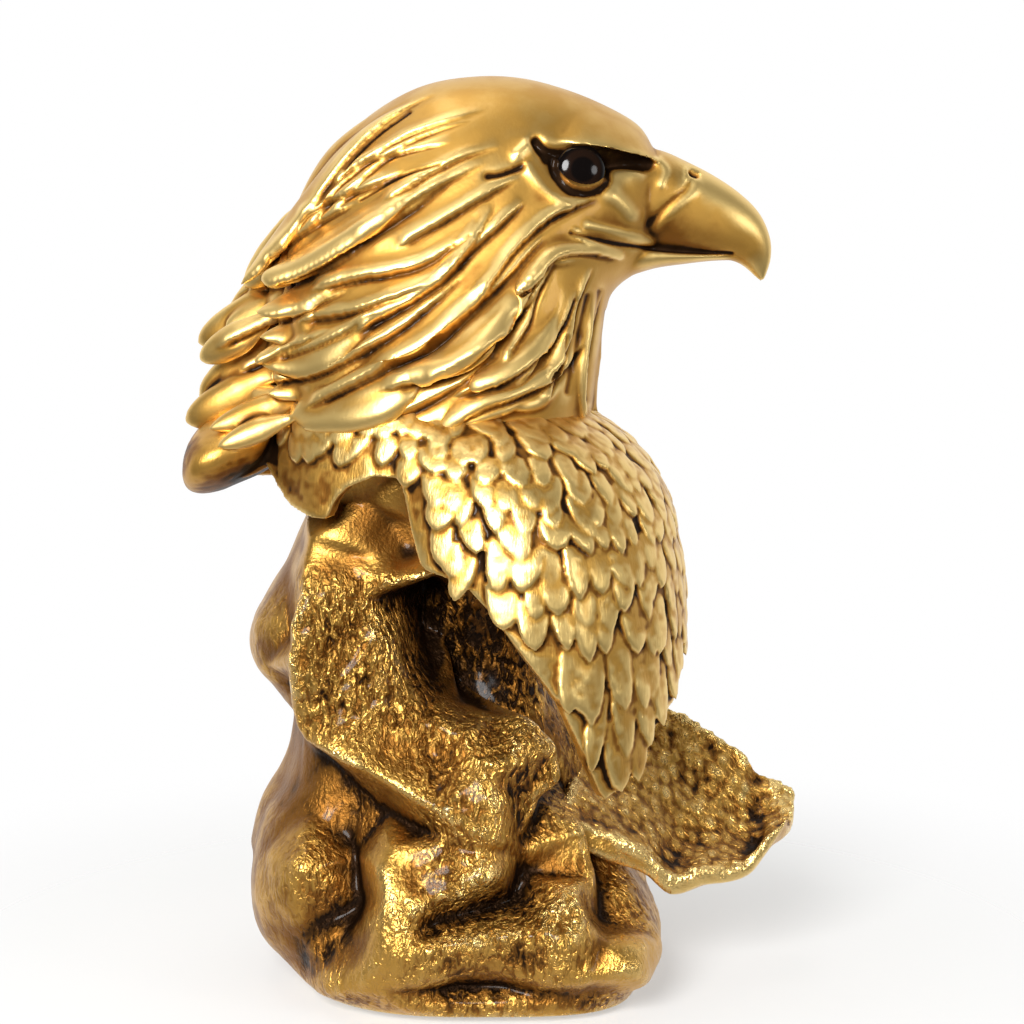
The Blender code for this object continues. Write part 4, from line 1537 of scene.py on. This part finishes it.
    def feather(self, bearing: float, drop: float, half: float, length: float, lean: float,
                lift: float) -> Surface:
        """Round-tipped feather that lies on the skin, sunk at its root and lifted at its tip.

        Args:
            bearing: Degrees round the neck.
            drop: Metres below the collar of its root.
            half: Half width in metres.
            length: Length in metres.
            lean: Degrees that its tip turns round the neck.
            lift: Rise of its tip in metres.

        Returns:
            The feather.
        """
        part = np.linspace(0, 1, 11)
        turned = bearing + lean * part
        path = self.skin(turned, drop + part * length)
        side = self.skin(turned + 1, drop + part * length) - path
        tangent = unit(np.gradient(path, axis=0))
        across = unit(side)
        normal = unit(np.cross(across, -tangent))
        normal *= np.sign(np.sum(normal * (path - self.neck) * np.array((1, 1, 0)), axis=1))[:, None]
        grown = np.minimum(1, part / 0.3 + 0.3) * np.clip(1 - ramp(part, 0.5, 1.0) ** 2, 0.004, 1) ** 0.65
        wide = half * grown
        thick = np.maximum(0.50 * MM * np.sqrt(grown) + 0.09 * wide, 0.2 * MM)
        rise = (part - 0.35) * lift
        return blade(path + normal * rise[:, None], across, normal, wide, thick, 0.55)

    def rim(self, bearing: float, step: float) -> float:
        """How far down feathers may reach, mindful of a rim that is higher beside them.

        Args:
            bearing: Degrees round the neck.
            step: Degrees to the next feather.

        Returns:
            Metres below the collar, or less than nothing where the collar is bare.
        """
        if not self.bare[0] <= bearing <= self.bare[1]:
            return -1.0
        here, *beside = self.column(np.array((bearing, bearing - step, bearing + step)), 3)
        return min((self.collar - here) * self.sketch.height,
                   (self.collar - max(beside)) * self.sketch.height + 6 * MM)

    def feathers(self) -> List[Surface]:
        """Rows of feathers from the collar to the rim, larger further down.

        Returns:
            The feathers.
        """
        made: List[Surface] = []
        random = np.random.default_rng(3)
        drop = self.first
        while drop < self.last * self.sketch.height:
            grow = min(1.0, max(0.0, drop / self.grown))
            half = self.halves[0] + self.halves[1] * grow
            length = self.lengths[0] + self.lengths[1] * grow
            turn = -180.0 + random.uniform(0, 6)
            while turn < 180:
                place = self.skin(np.array(turn), np.array(max(drop, 0.0))) - self.neck
                step = math.degrees(1.7 * half / float(np.linalg.norm(place[:2])))
                rim = self.rim(turn, step)
                scale = turn < self.scales or turn > self.bare[1]
                if drop + 0.55 * length < (min(rim, 9 * MM) if scale else rim):
                    reach = min(length * random.uniform(0.85, 1.2), rim + 0.8 * MM - drop)
                    shift = random.uniform(-0.28, 0.28, 2)
                    wide = half * random.uniform(0.78, 1.18)
                    lean = random.normal(0, 0.32) * step
                    lift = 0.5 if scale else 0.8 + random.uniform(0.3, 1.5) * min(1, 0.3 + 2 * grow)
                    made.append(self.feather(turn + shift[0] * step, drop + shift[1] * length * 0.5,
                                             wide, reach, lean, lift * MM))
                turn += step * random.uniform(0.9, 1.1)
            drop += 0.50 * length
        return made

    def build(self) -> None:
        """Sculpts the cape and puts it in place of the CAD casting."""
        lobe = fan(self.sketch, self.lobe, rings=30, around=36)
        whole = Surface.joined([self.shell(), lobe] + self.feathers())
        casting = Casting.fused("cape_casting", whole, self.voxel)
        casting.smooth(rounds=1)
        points = casting.points
        bumps = 0.20 * MM * value_noise(points, 6 * MM, 31) + 0.08 * MM * value_noise(points, 1.8 * MM, 32)
        casting.push(bumps)
        turn = np.arctan2(points[:, 1] - self.neck[1], points[:, 0] - self.neck[0])
        bearing = np.degrees(turn)
        facing = casting.normals()
        outward = facing[:, 0] * np.cos(turn) + facing[:, 1] * np.sin(turn)
        bare = ramp(np.abs(bearing), 150, 158)
        plain = np.maximum(bare, ramp(outward, -0.2, -0.7))
        casting.smooth(rounds=8, share=0.5 * plain[:, None])
        across, down = self.sketch.pixel(points).T
        back = across < self.back
        flap = ramp(across, *self.flap) * ramp(down - np.where(back, *self.flap_top), 0, self.flap_fade)
        edge = ramp(points[:, 2] - self.column(bearing, 3) * self.sketch.height, *self.edge)
        # darker bare back, lighter feathered skin and a darker bib tip; painted shade under the collar's
        # flaps, on the back lobe and along the rim
        casting.tint_and_painted_light = 0.10 * bare - 0.08 * (1 - plain) + 0.26 * ramp(down, *self.tip)
        casting.tint_and_painted_light += np.maximum(np.where(back, *self.flap_dark) * flap, 0.42 * edge)
        casting.finish(self.material, "gilt_feathers", ("feather_cape",), near=7)


@dataclass
class Rock(Sculpture):
    """Craggy rock with its recess below and the boss behind.

    Attributes:
        levels: Number of rings up the rock.
        around: Points in a ring.
        floor: Height of the rim in metres.
        recess: Depth of the recess in metres.
        gap: Metres between the recess and the base plate.
        boss_around: Points in a ring of the boss.
        boss_hole: Radius of the socket's hole in millimetres and heights of its ends.
        boss_side: Radius of the boss in millimetres and height, from its top to its foot.
        hammer_down: Pixels from the top where the hammer marks start and where they are full.
        hammer_across: The same from the left, from weak to full marks.
        scoop: Smooth hollow on the left, with fewer hammer marks and painted shade.
        shade: Painted shade on the lower left.
        grain: Turn and stretch that slant the hammer marks.
        stations: Left and right edge in pixels, near and far edge in millimetres.
        relief: Broken faces on the photo's side.
    """

    levels: int = 262
    around: int = 344
    floor: float = 1.5 * MM
    recess: float = 10.0 * MM
    gap: float = 0.3 * MM
    boss_around: int = 130
    boss_hole: Table = ((7.9, 0.30), (7.9, 1.0))
    boss_side: Table = ((13.5, 1.0), (15.3, 0.97), (15.8, 0.85), (17.0, 0.5), (19.0, 0.2), (20.5, 0.05))
    hammer_down: Pair = (565.0, 605.0)
    hammer_across: Pair = (290.0, 320.0)
    scoop: Stroke = Stroke(((300, 745), (345, 850), (352, 940)), 42, 0.0, 0.12)
    shade: Zone = Zone((350, 290), (720, 780), 0.12)
    grain: Table = ((0.83, 0.0, 0.28), (0.0, 1.0, 0.0), (-0.56, 0.0, 0.41))
    stations: Table = (
        (305, 957, 632, 957, -46, 60), (287, 940, 640, 942, -49, 63), (259, 910, 658, 910, -49, 64),
        (251, 870, 648, 880, -47, 63), (257, 828, 625, 842, -43, 62), (266, 796, 606, 804, -40, 60),
        (283, 766, 592, 768, -38, 57), (292, 736, 580, 736, -37, 51), (291, 704, 566, 704, -36, 45),
        (278, 681, 553, 679, -35, 40), (256, 652, 545, 650, -34, 37), (253, 624, 538, 622, -34, 35),
        (266, 594, 533, 594, -34, 35), (284, 562, 530, 564, -34, 35), (300, 530, 528, 540, -33, 34),
        (312, 505, 524, 505, -33, 33), (320, 478, 520, 478, -34, 33), (326, 452, 516, 452, -34, 33),
        (332, 432, 510, 432, -30, 30),
    )
    relief: Relief = Relief((
        (200, 440, 0), (200, 600, 0), (200, 750, 0), (200, 900, 0), (200, 1030, 0), (450, 1040, 0),
        (720, 1030, 0), (720, 900, 0), (720, 750, 0), (720, 600, 0), (720, 440, 0), (450, 430, 0),
        (320, 500, 2), (362, 505, -4), (385, 522, -7), (404, 548, -6), (420, 520, -5), (480, 540, -6),
        (530, 560, -8), (316, 513, 4), (327, 545, 7), (322, 590, 8), (310, 625, 9), (306, 650, 9),
        (312, 690, 8), (330, 732, 10), (360, 752, 11), (400, 780, 10), (440, 808, 10), (478, 835, 12),
        (285, 565, -2), (258, 620, 1), (264, 668, 0), (288, 690, -5), (290, 630, -2), (350, 560, 2),
        (370, 600, 1), (345, 640, 3), (350, 700, 3), (385, 740, 3), (394, 586, 1), (384, 640, 1),
        (380, 690, 1), (440, 572, 0), (472, 582, -3), (406, 600, -20), (440, 590, -24), (478, 602, -24),
        (404, 640, -12), (440, 640, -28), (490, 640, -26), (510, 662, -30), (402, 690, -2), (440, 692, -9),
        (470, 702, -8), (500, 702, -10), (420, 720, 0), (440, 760, 1), (300, 738, -4), (335, 778, -6),
        (385, 812, -7), (430, 832, -3), (275, 800, 1), (264, 850, 2), (267, 900, 1), (290, 942, -3),
        (312, 870, 5), (300, 812, -3), (348, 850, -9), (352, 900, -9), (340, 942, -4), (395, 850, 5),
        (440, 838, 5), (480, 852, 9), (489, 884, 10), (470, 894, 9), (440, 908, 8), (412, 930, 8),
        (388, 905, 8), (383, 875, 7), (430, 927, -2), (456, 914, -6), (486, 905, -8), (516, 893, -8),
        (536, 866, -6), (385, 956, 8), (412, 949, 8), (440, 944, 7), (470, 940, 6), (500, 936, 6),
        (530, 936, 6), (560, 950, 8), (620, 968, 8), (315, 970, -3), (345, 986, 3), (382, 986, 5),
        (440, 978, 3), (490, 968, 2), (540, 982, 3), (490, 992, -7), (450, 994, -6), (530, 996, -3),
        (462, 735, 3), (478, 765, 8), (490, 800, 11), (489, 840, 12), (512, 800, 2), (520, 850, -1),
        (546, 800, -6), (500, 712, -2), (520, 724, 7), (535, 750, 10), (541, 780, 11), (525, 800, 5),
        (553, 750, -12), (562, 770, -15), (576, 777, -12), (575, 830, 7), (561, 900, 8), (576, 930, 8),
        (590, 880, 2), (606, 868, -7), (610, 912, -7), (630, 880, 5), (652, 902, 8), (640, 940, 2),
        (602, 950, 5), (642, 976, 5),
    ))

    def body(self) -> Surface:
        """Skin of the rock: the recess and the flat rim below, then rings up its height.

        Returns:
            The surface.
        """
        rows = spread(self.stations, self.levels)
        near, far = rows[:, 4:6].T * MM
        left = self.sketch.place(rows[:, 0], rows[:, 1], (near + far) / 2)
        right = self.sketch.place(rows[:, 2], rows[:, 3], (near + far) / 2)
        turn = turns(self.around)
        power = 0.85 - 0.35 * ramp(rows[:, 1:2], 800, 900) * ((np.cos(turn) > 0) & (np.sin(turn) < 0))
        across = bent(np.cos(turn), power)[..., None]
        rings = (left + right)[:, None] / 2 + (right - left)[:, None] / 2 * across
        rings[..., 1] += ((far - near) / 2)[:, None] * bent(np.sin(turn), power)
        low, high = (np.array(corner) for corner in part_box("base_plate"))
        middle, half = (low + high) / 2, (high - low) / 2 + self.gap
        oval = np.stack((middle[0] + half[0] * np.cos(turn), middle[1] + half[1] * np.sin(turn),
                         np.full(self.around, self.floor)), axis=-1)
        roof = oval + np.array((0.0, 0.0, self.recess))
        return Surface.from_rings(np.concatenate((roof[None], oval[None], rings)))

    def facets(self, points: Array, count: int, size: float, seed: int) -> Array:
        """Broken facets: each cell of the nearest seed point tilts its own way.

        Args:
            points: Places on the skin.
            count: Number of cells.
            size: Height of the steps in metres.
            seed: Choice of cells.

        Returns:
            Metres outward.
        """
        random = np.random.default_rng(seed)
        centre = points[random.integers(0, len(points), count)]
        slope = random.normal(0, 1, (count, 3))
        away = [np.linalg.norm((points - place) * (1, 1, 0.7), axis=1) for place in centre]
        distance = np.stack(away, axis=-1)
        weight = np.exp(-(distance - distance.min(axis=1, keepdims=True)) / (1.2 * MM))
        tilt = np.stack([(points - place) @ lean for place, lean in zip(centre, slope)], axis=-1)
        return size * np.tanh(np.sum(weight * tilt, axis=1) / weight.sum(axis=1) / (14 * MM))

    def boss(self) -> Surface:
        """Stump of rock behind the bust, turned about the pole's axis, with the socket's hole.

        Returns:
            The surface, bumpy but for its hole.
        """
        low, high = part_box("pole_sleeve")
        middle = np.array(((low[0] + high[0]) / 2, (low[1] + high[1]) / 2, 0.0))
        top = high[2] - 1.5 * MM
        rows = np.concatenate((np.array(self.boss_hole), spread(self.boss_side, 44)))
        turn = turns(self.boss_around)[None, :]
        radius = rows[:, :1] * MM
        place = np.broadcast_arrays(radius * np.cos(turn), radius * np.sin(turn), rows[:, 1:] * top)
        stump = Surface.from_rings(middle + np.stack(place, axis=-1)[:, ::-1])
        points = stump.points
        bumps = 1.2 * MM * value_noise(points, 7 * MM, 6) + 0.4 * MM * value_noise(points, 2.5 * MM, 8)
        bumps[: 5 * self.boss_around] = 0
        Casting("boss", points, stump.quads).push(bumps)
        return stump

    def hammering(self, points: Array, pixels: Array) -> Array:
        """How hammered the rock is: in patches, and most below its neck.

        Args:
            points: Places on the skin.
            pixels: Sketch points of the places.

        Returns:
            Values from 0 to 1.
        """
        across, down = pixels.T
        made = ramp(down, *self.hammer_down) * (0.25 + 0.75 * ramp(across, *self.hammer_across))
        return made * np.clip(0.75 + 0.9 * value_noise(points, 14 * MM, 41), 0.15, 1)

    def build(self) -> None:
        """Sculpts the rock and puts it in place of the CAD casting."""
        body = self.body()
        casting = Casting("rock_casting", body.points, body.quads)
        points = body.points
        pixels = self.sketch.seen(points)
        facing = casting.normals()
        shown = np.clip(-facing[:, 1] * 2.2 + 0.1, 0, 1)
        warp = np.stack([value_noise(points, 11 * MM, seed) for seed in (21, 22)], axis=-1)
        carved = shown * self.relief.amount(pixels + 3.5 * warp)
        push = carved + self.facets(points, 90, 2.6 * MM, 5) * (1.2 - shown)
        push += self.facets(points, 150, 1.5 * MM, 7) * shown
        push = casting.softened(push, rounds=7) + 0.5 * MM * value_noise(points, 8 * MM, 2)
        scooped = self.scoop.bell(pixels)
        hammered = self.hammering(points, pixels) * (1 - 0.8 * scooped)
        tilted = points @ np.array(self.grain)
        push += hammered * 0.8 * MM * (0.5 - np.abs(value_noise(tilted, 3.2 * MM, 9)))
        push += hammered * 0.45 * MM * value_noise(tilted, 1.8 * MM, 19)
        edge = np.abs(np.cos(np.arctan2(facing[:, 1], facing[:, 0]))) ** 4
        push *= ramp(points[:, 2], 2.5 * MM, 10.5 * MM) * (1 - 0.6 * edge)
        push[: 4 * self.around] = 0
        casting.push(push)
        casting.smooth(rounds=1, share=0.3)
        stump = self.boss()
        joined = Surface.joined((body, stump))
        plain = np.zeros(len(stump.points))
        # painted shade on the lower left, in the deep caves of the relief and in the scoop
        shade = self.shade.amount(pixels) + 0.7 * ramp(-carved, 0, 20 * MM) + self.scoop.dark * scooped
        whole = Casting("rock_casting", joined.points, joined.quads)
        whole.tint_and_painted_light = 0.34 + np.concatenate((shade, plain))
        whole.rough = np.concatenate((hammered, plain + 0.6))
        whole.finish(self.material, "gilt_rock", ("rock_base",))


@dataclass
class Ledge(Sculpture):
    """Dish-like shelf of rock.

    Attributes:
        voxel: Size of the skin's quads in metres.
        reach: Metres of the near and the far edge from the middle plane, at the rock.
        sag: Depth of the dish in metres.
        stations: Near edge and far edge in pixels, thickness in millimetres.
    """

    voxel: float = 0.7 * MM
    reach: float = 25 * MM
    sag: float = 5 * MM
    stations: Table = (
        (560, 812, 590, 668, 16), (600, 832, 632, 686, 15), (640, 852, 672, 708, 12),
        (674, 878, 704, 724, 9), (702, 872, 732, 742, 7), (728, 872, 748, 753, 6), (749, 862, 760, 771, 5),
        (768, 838, 776, 777, 4.5), (790, 814, 795, 790, 3),
    )

    def build(self) -> None:
        """Sculpts the shelf: edge-to-edge rows that sag into a dish, over a thinner underside."""
        rows = spread(self.stations, 90)
        reach = self.reach * np.linspace(1, 0.5, len(rows))
        near = self.sketch.place(rows[:, 0], rows[:, 1], -reach)
        far = self.sketch.place(rows[:, 2], rows[:, 3], reach)
        part = np.linspace(0, 1, 60)[None, :, None]
        top = near[:, None] * (1 - part) + far[:, None] * part
        sag = 4 * part[..., 0] * (1 - part[..., 0])
        top[..., 2] -= self.sag * sag
        under = top.copy()
        under[..., 2] -= (rows[:, 4] * MM)[:, None] * (0.5 + 0.5 * sag)
        surface = Surface.from_rings(np.concatenate((top, under[:, ::-1]), axis=1))
        casting = Casting.fused("ledge_casting", surface, self.voxel)
        casting.smooth(rounds=6)
        points = casting.points
        upward = ramp(casting.normals()[:, 2], 0.0, 0.5)
        pebbles = np.clip(cell_noise(points * (1, 1, 0.4), 3.2 * MM, 13) - 0.2, 0, 1)
        casting.push(1.3 * MM * value_noise(points, 9 * MM, 12) + upward * 0.8 * MM * pebbles)
        casting.smooth(rounds=1)
        casting.rough = 0.12 + 0.3 * upward
        # painted light: the faces that look up are lighter than the sides and the underside
        casting.tint_and_painted_light = 0.30 - 0.18 * upward
        casting.finish(self.material, "gilt_rock", ("rock_ledge",))


@dataclass
class Eyes:
    """Domed glass eyes.

    Attributes:
        glass: Look of the eyes.
        radius: Radius of a dome in metres.
        rise: Height of a dome in metres.
        shift: Metres from the CAD eye to its place in the photo.
        aim: Direction that an eye looks in, forward and up, for one to the side.
    """

    glass: Material
    radius: float = 6.8 * MM
    rise: float = 2.8 * MM
    shift: Place = (-0.8 * MM, 0.0, -0.9 * MM)
    aim: Pair = (0.25, 0.05)

    def build(self) -> None:
        """Puts smooth turned domes in place of the two CAD eyes."""
        bend = np.linspace(0, math.pi, 40)[:, None, None]
        turn = turns(64)[None, :, None]
        for node, side in (("eye_left", Side.FAR), ("eye_right", Side.NEAR)):
            low, high = (np.array(corner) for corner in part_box(node))
            middle = (low + high) / 2 + np.array(self.shift)
            axis = unit(np.array((self.aim[0], float(side.value), self.aim[1])))
            across = unit(np.cross(axis, (0, 0, 1)))
            circle = np.cos(turn) * across + np.sin(turn) * np.cross(across, axis)
            rings = middle + circle * self.radius * np.sin(bend) + axis * self.rise * np.cos(bend)
            surface = Surface.from_rings(rings)
            mesh = surface.mesh(node + "_dome")
            away = np.linalg.norm(np.cross(surface.points - middle, axis), axis=1) / self.radius
            mesh.attributes.new(IRIS, "FLOAT", "POINT").data.foreach_set("value", away.astype(np.float32))
            mesh.shade_smooth()
            show(node + "_dome", mesh, self.glass, (node,))


@dataclass
class Fittings:
    """CAD pieces that keep their shape and get a finish.

    Attributes:
        finishes: Each finish and a word in the names of its pieces.
    """

    frame: Dict
    finishes: Tuple[Tuple[PlainFinish, str], ...] = (
        (PlainFinish("pin_metal", (0.50, 0.50, 0.52), 0.3, 1.0), "dowel"),
        (PlainFinish("ballast_metal", (0.10, 0.10, 0.10), 0.7, 0.6, 2 * MM, 0.5), "ballast"),
        (PlainFinish("plate_black", (0.035, 0.033, 0.030), 0.75, 0.0, 0.6 * MM, 0.4), "base_plate"),
        (PlainFinish("screw_metal", (0.55, 0.55, 0.56), 0.3, 1.0), "plate_screw"),
        (PlainFinish("felt_green", (0.020, 0.050, 0.025), 0.95, 0.0, 0.3 * MM, 0.9), "foot_pad"),
        (PlainFinish("sleeve_metal", (0.72, 0.50, 0.20), 0.25, 1.0), "pole_sleeve"),
        (PlainFinish("cushion_black", (0.025, 0.025, 0.025), 0.9), "pole_cushion"),
    )

    def dress(self) -> None:
        """Gives each fitting its finish."""
        for finish, word in self.finishes:
            material = finish.build()
            for name, node in self.frame["nodes"].items():
                if word in name:
                    node.data.materials.clear()
                    node.data.materials.append(material)
                    LOG.info("%s: %s", name, finish.name)


@dataclass
class Studio:
    """White floor, soft lamps and the photo's camera.

    Attributes:
        sketch: The photo view.
        wide: Half width of the floor in metres.
        middle: Height in metres that the lamps are aimed at.
        lamps: Name, place, width in metres and power in watts of each lamp.
        dim: Colour of the room behind the camera.
        sensor: Width of the camera's sensor in millimetres.
    """

    sketch: Sketch
    wide: float = 3.0
    middle: float = 0.14
    lamps: Tuple[Tuple[str, Place, float, float], ...] = (
        ("key", (-0.26, -0.92, 0.50), 0.45, 16.0),
        ("fill", (0.75, -0.55, 0.30), 0.25, 1.2),
        ("top", (-0.15, -0.05, 0.95), 0.4, 1.2),
    )
    dim: Colour = (0.10, 0.095, 0.075)
    sensor: float = 36.0

    def floor(self) -> None:
        """Pale floor that fades out round the statue."""
        mesh = bpy.data.meshes.new("floor")
        wide = self.wide
        mesh.from_pydata([(-wide, -wide, 0), (wide, -wide, 0), (wide, wide, 0), (-wide, wide, 0)],
                         [], [(0, 1, 2, 3)])
        floor = bpy.data.objects.new("floor", mesh)
        material, make, shader = Shader.material("floor_white")
        reach = make.vector("LENGTH", make.node("TexCoord").outputs["Object"])
        make.fill(shader, {"Base Color": rgba((0.9, 0.9, 0.9)), "Roughness": 0.9,
                           "Alpha": make.span(reach, 0.06, 0.26, 0.55, 0.0)})
        mesh.materials.append(material)
        bpy.context.scene.collection.objects.link(floor)
        floor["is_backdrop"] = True

    def lamp(self, name: str, place: Place, size: float, power: float) -> None:
        """Adds a soft lamp aimed at the bust.

        Args:
            name: Name of the lamp.
            place: Where it hangs.
            size: Width in metres.
            power: Power in watts.
        """
        data = bpy.data.lights.new(name, "AREA")
        data.energy = power
        data.size = size
        data.shape = "DISK"
        made = bpy.data.objects.new(name, data)
        made.location = place
        aim = Vector((0, 0, self.middle)) - Vector(place)
        made.rotation_euler = aim.to_track_quat("-Z", "Y").to_euler()
        bpy.context.scene.collection.objects.link(made)

    def world(self) -> None:
        """World that is white to the camera and a dimmer room to the object."""
        world = bpy.data.worlds.new("studio")
        world.use_nodes = True
        bpy.context.scene.world = world
        make = Shader(world.node_tree)
        path = make.node("LightPath").outputs
        split = make.node("SeparateXYZ", {0: make.node("TexCoord").outputs["Generated"]})
        behind = make.span(split.outputs["Y"], -0.2, 0.5)
        mirrored = make.math("MAXIMUM", path["Is Glossy Ray"], path["Is Transmission Ray"])
        white, dim = rgba((1, 1, 1)), rgba(self.dim)
        room = make.blend(behind, dim, rgba((0.60, 0.58, 0.54)))
        colour = make.blend(mirrored, room, make.blend(behind, dim, white))
        colour = make.blend(path["Is Camera Ray"], colour, white)
        make.fill(world.node_tree.nodes["Background"], {"Color": colour})

    def camera(self) -> None:
        """Camera of the photo."""
        data = bpy.data.cameras.new("photo")
        data.lens = self.sketch.focus * self.sensor / (2 * self.sketch.middle)
        data.sensor_width = self.sensor
        made = bpy.data.objects.new("photo", data)
        made.location = self.sketch.eye_point
        made.rotation_euler = (math.pi / 2 - self.sketch.tilt, 0, 0)
        bpy.context.scene.collection.objects.link(made)
        bpy.context.scene.camera = made

    def build(self) -> None:
        """Sets up the whole studio."""
        self.floor()
        self.world()
        self.camera()
        for lamp in self.lamps:
            self.lamp(*lamp)
        bpy.context.scene.view_settings.view_transform = "Standard"


def corners() -> List[List[float]]:
    """Returns: lowest and highest corner of the shown object."""
    return [[float(part) for part in corner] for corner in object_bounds()]


def main() -> None:
    """Builds the looks piece by piece."""
    logging.basicConfig(level=logging.INFO, format="%(message)s")
    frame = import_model()
    low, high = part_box("pole_sleeve")
    sketch = Sketch(shift=tuple((low[n] + high[n]) / 2 - SOCKET[n] for n in (0, 1)))
    patina_and_painted_light = patina_and_painted_light_group()
    mane = GiltFinish("gilt_mane_look", 0.9 * MM, 0.07, 0.41, (1.0, 1.0, 0.7)).build(patina_and_painted_light)
    plumage = GiltFinish("gilt_plumage_look", 0.55 * MM, 0.18, 0.38, (1.0, 1.0, 0.16)).build(patina_and_painted_light)
    stone = GiltFinish("gilt_rock_look", 0.9 * MM, 0.9, 0.26, pitted=True).build(patina_and_painted_light)
    glass = GlassFinish("eye_glass_look", (0.003, 0.002, 0.002), (0.011, 0.005, 0.003)).build()
    Head(sketch, mane).build()
    Cape(sketch, plumage).build()
    Rock(sketch, stone).build()
    Ledge(sketch, stone).build()
    Eyes(glass).build()
    Fittings(frame).dress()
    Studio(sketch).build()


if __name__ == "__main__":
    main()
